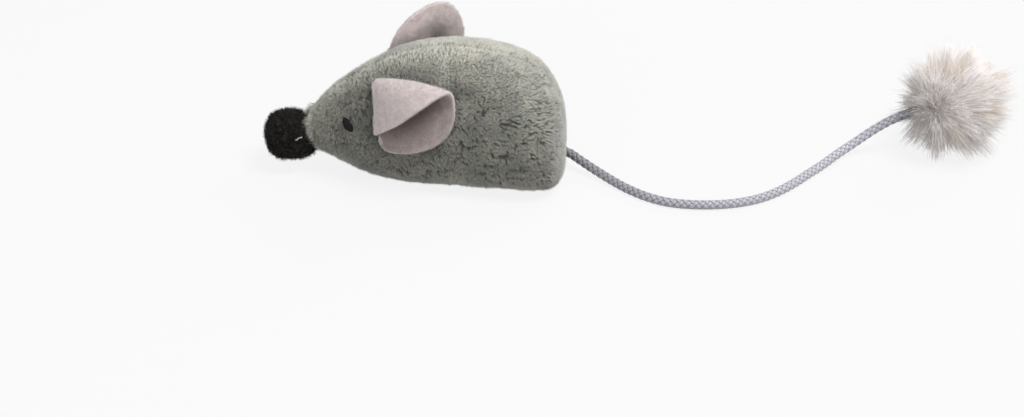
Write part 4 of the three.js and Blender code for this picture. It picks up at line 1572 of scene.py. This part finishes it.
# What lies inside: the stuffing, the catnip's pouch, the threads and the tail's knot

inside_sunk = 0.0002
inside_lumps = 0.0002


def add_inside():
    wadding, muslin = wadding_material(), muslin_material()
    # Name, CAD node, voxel, material, size of the lumps, their seed, slot and share filled
    padded = [
        ("stuffing_fibre", "stuffing", 0.0005, wadding, 0.002, 61, "polyester_stuffing", 0.9),
        ("catnip_pouch_muslin", "catnip_pouch", 0.0003, muslin, 0.0016, 62, "catnip_muslin", 0.8),
    ]
    for name, node, voxel, material, lump_size, seed, slot, fill in padded:
        piece = soft_copy(name, node, voxel, 3, material)
        points, normals = coordinates(piece.data), coordinates(piece.data, "normal")
        sunk = inside_sunk + inside_lumps * noise(points, lump_size, seed)
        set_coordinates(piece.data, points - normals * sunk[:, None])
        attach(piece, "body")
    # Name, CAD node, voxel, rounds, material and slot
    threads = [
        ("tail_cord_knot", "tail_knot", 0.00025, 2, satin, "satin_cord"),
        ("nose_tie_thread", "nose_thread", 0.00015, 1, black_thread, "black_thread"),
        ("back_seam_stitches", "back_seam_thread", 0.00015, 1, grey_thread, "seam_thread"),
        ("belly_seam_stitches", "belly_seam_thread", 0.00015, 1, grey_thread, "seam_thread"),
    ]
    for name, node, voxel, rounds, material, slot in threads:
        piece = soft_copy(name, node, voxel, rounds, material)
        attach(piece, "body")


add_inside()

# Floor and light

floor_reach = 3.0
floor_grey = (0.55, 0.55, 0.55, 1)
floor_white_share = 0.86
floor_drop = 0.00002
world_strength = 0.38
white = (1, 1, 1, 1)


def add_floor():
    corners = [(-1, -1, 0), (1, -1, 0), (1, 1, 0), (-1, 1, 0)]
    m = Nodes("floor")
    m.tree.nodes.remove(m.shader)
    output = next(node for node in m.tree.nodes if node.type == "OUTPUT_MATERIAL")
    diffuse = m.add("ShaderNodeBsdfDiffuse")
    diffuse.inputs["Color"].default_value = floor_grey
    glow = m.add("ShaderNodeEmission")
    seen = m.add("ShaderNodeLightPath")
    wide = m.add("ShaderNodeMath", operation="MAXIMUM")
    share = m.add("ShaderNodeMath", operation="MULTIPLY")
    share.inputs[1].default_value = floor_white_share
    mixer = m.add("ShaderNodeMixShader")
    m.link(seen.outputs["Is Camera Ray"], wide.inputs[0])
    m.link(seen.outputs["Is Glossy Ray"], wide.inputs[1])
    m.link(wide.outputs[0], share.inputs[0])
    for index, source in enumerate((share, diffuse, glow)):
        m.link(source.outputs[0], mixer.inputs[index])
    m.link(mixer.outputs[0], output.inputs["Surface"])
    floor = mesh_piece("floor", np.array(corners) * floor_reach, [(0, 1, 2, 3)], m.material)
    floor.location.z = -floor_drop


def add_lamp(name, place, size, power):
    data = bpy.data.lights.new(name, "AREA")
    data.shape = "DISK"
    data.size = size
    data.energy = power
    lamp = linked(name, data)
    lamp.location = place
    lamp.rotation_mode = "QUATERNION"
    lamp.rotation_quaternion = Vector(place).to_track_quat("Z", "Y")


def add_world():
    """An even light from all round, which the camera sees as plain white."""
    world = bpy.data.worlds.new("studio")
    bpy.context.scene.world = world
    world.use_nodes = True
    tree = world.node_tree
    tree.nodes.clear()
    kinds = ("OutputWorld", "LightPath", "MixShader", "Background", "Background")
    output, seen, mixer, light, ground = (tree.nodes.new("ShaderNode" + kind) for kind in kinds)
    for shader, strength in ((light, world_strength), (ground, 1.0)):
        shader.inputs["Color"].default_value = white
        shader.inputs["Strength"].default_value = strength
    for index, source in enumerate((seen.outputs["Is Camera Ray"], light.outputs[0], ground.outputs[0])):
        tree.links.new(source, mixer.inputs[index])
    tree.links.new(mixer.outputs[0], output.inputs["Surface"])


add_floor()
add_world()
add_lamp("key", (0.35, -0.30, 0.95), 0.5, 9.0)
add_lamp("rim", (0.65, 0.7, 0.6), 0.5, 3.2)
add_lamp("fill", (-0.6, -0.9, 0.5), 0.8, 2.3)
bpy.context.scene.view_settings.view_transform = "Standard"
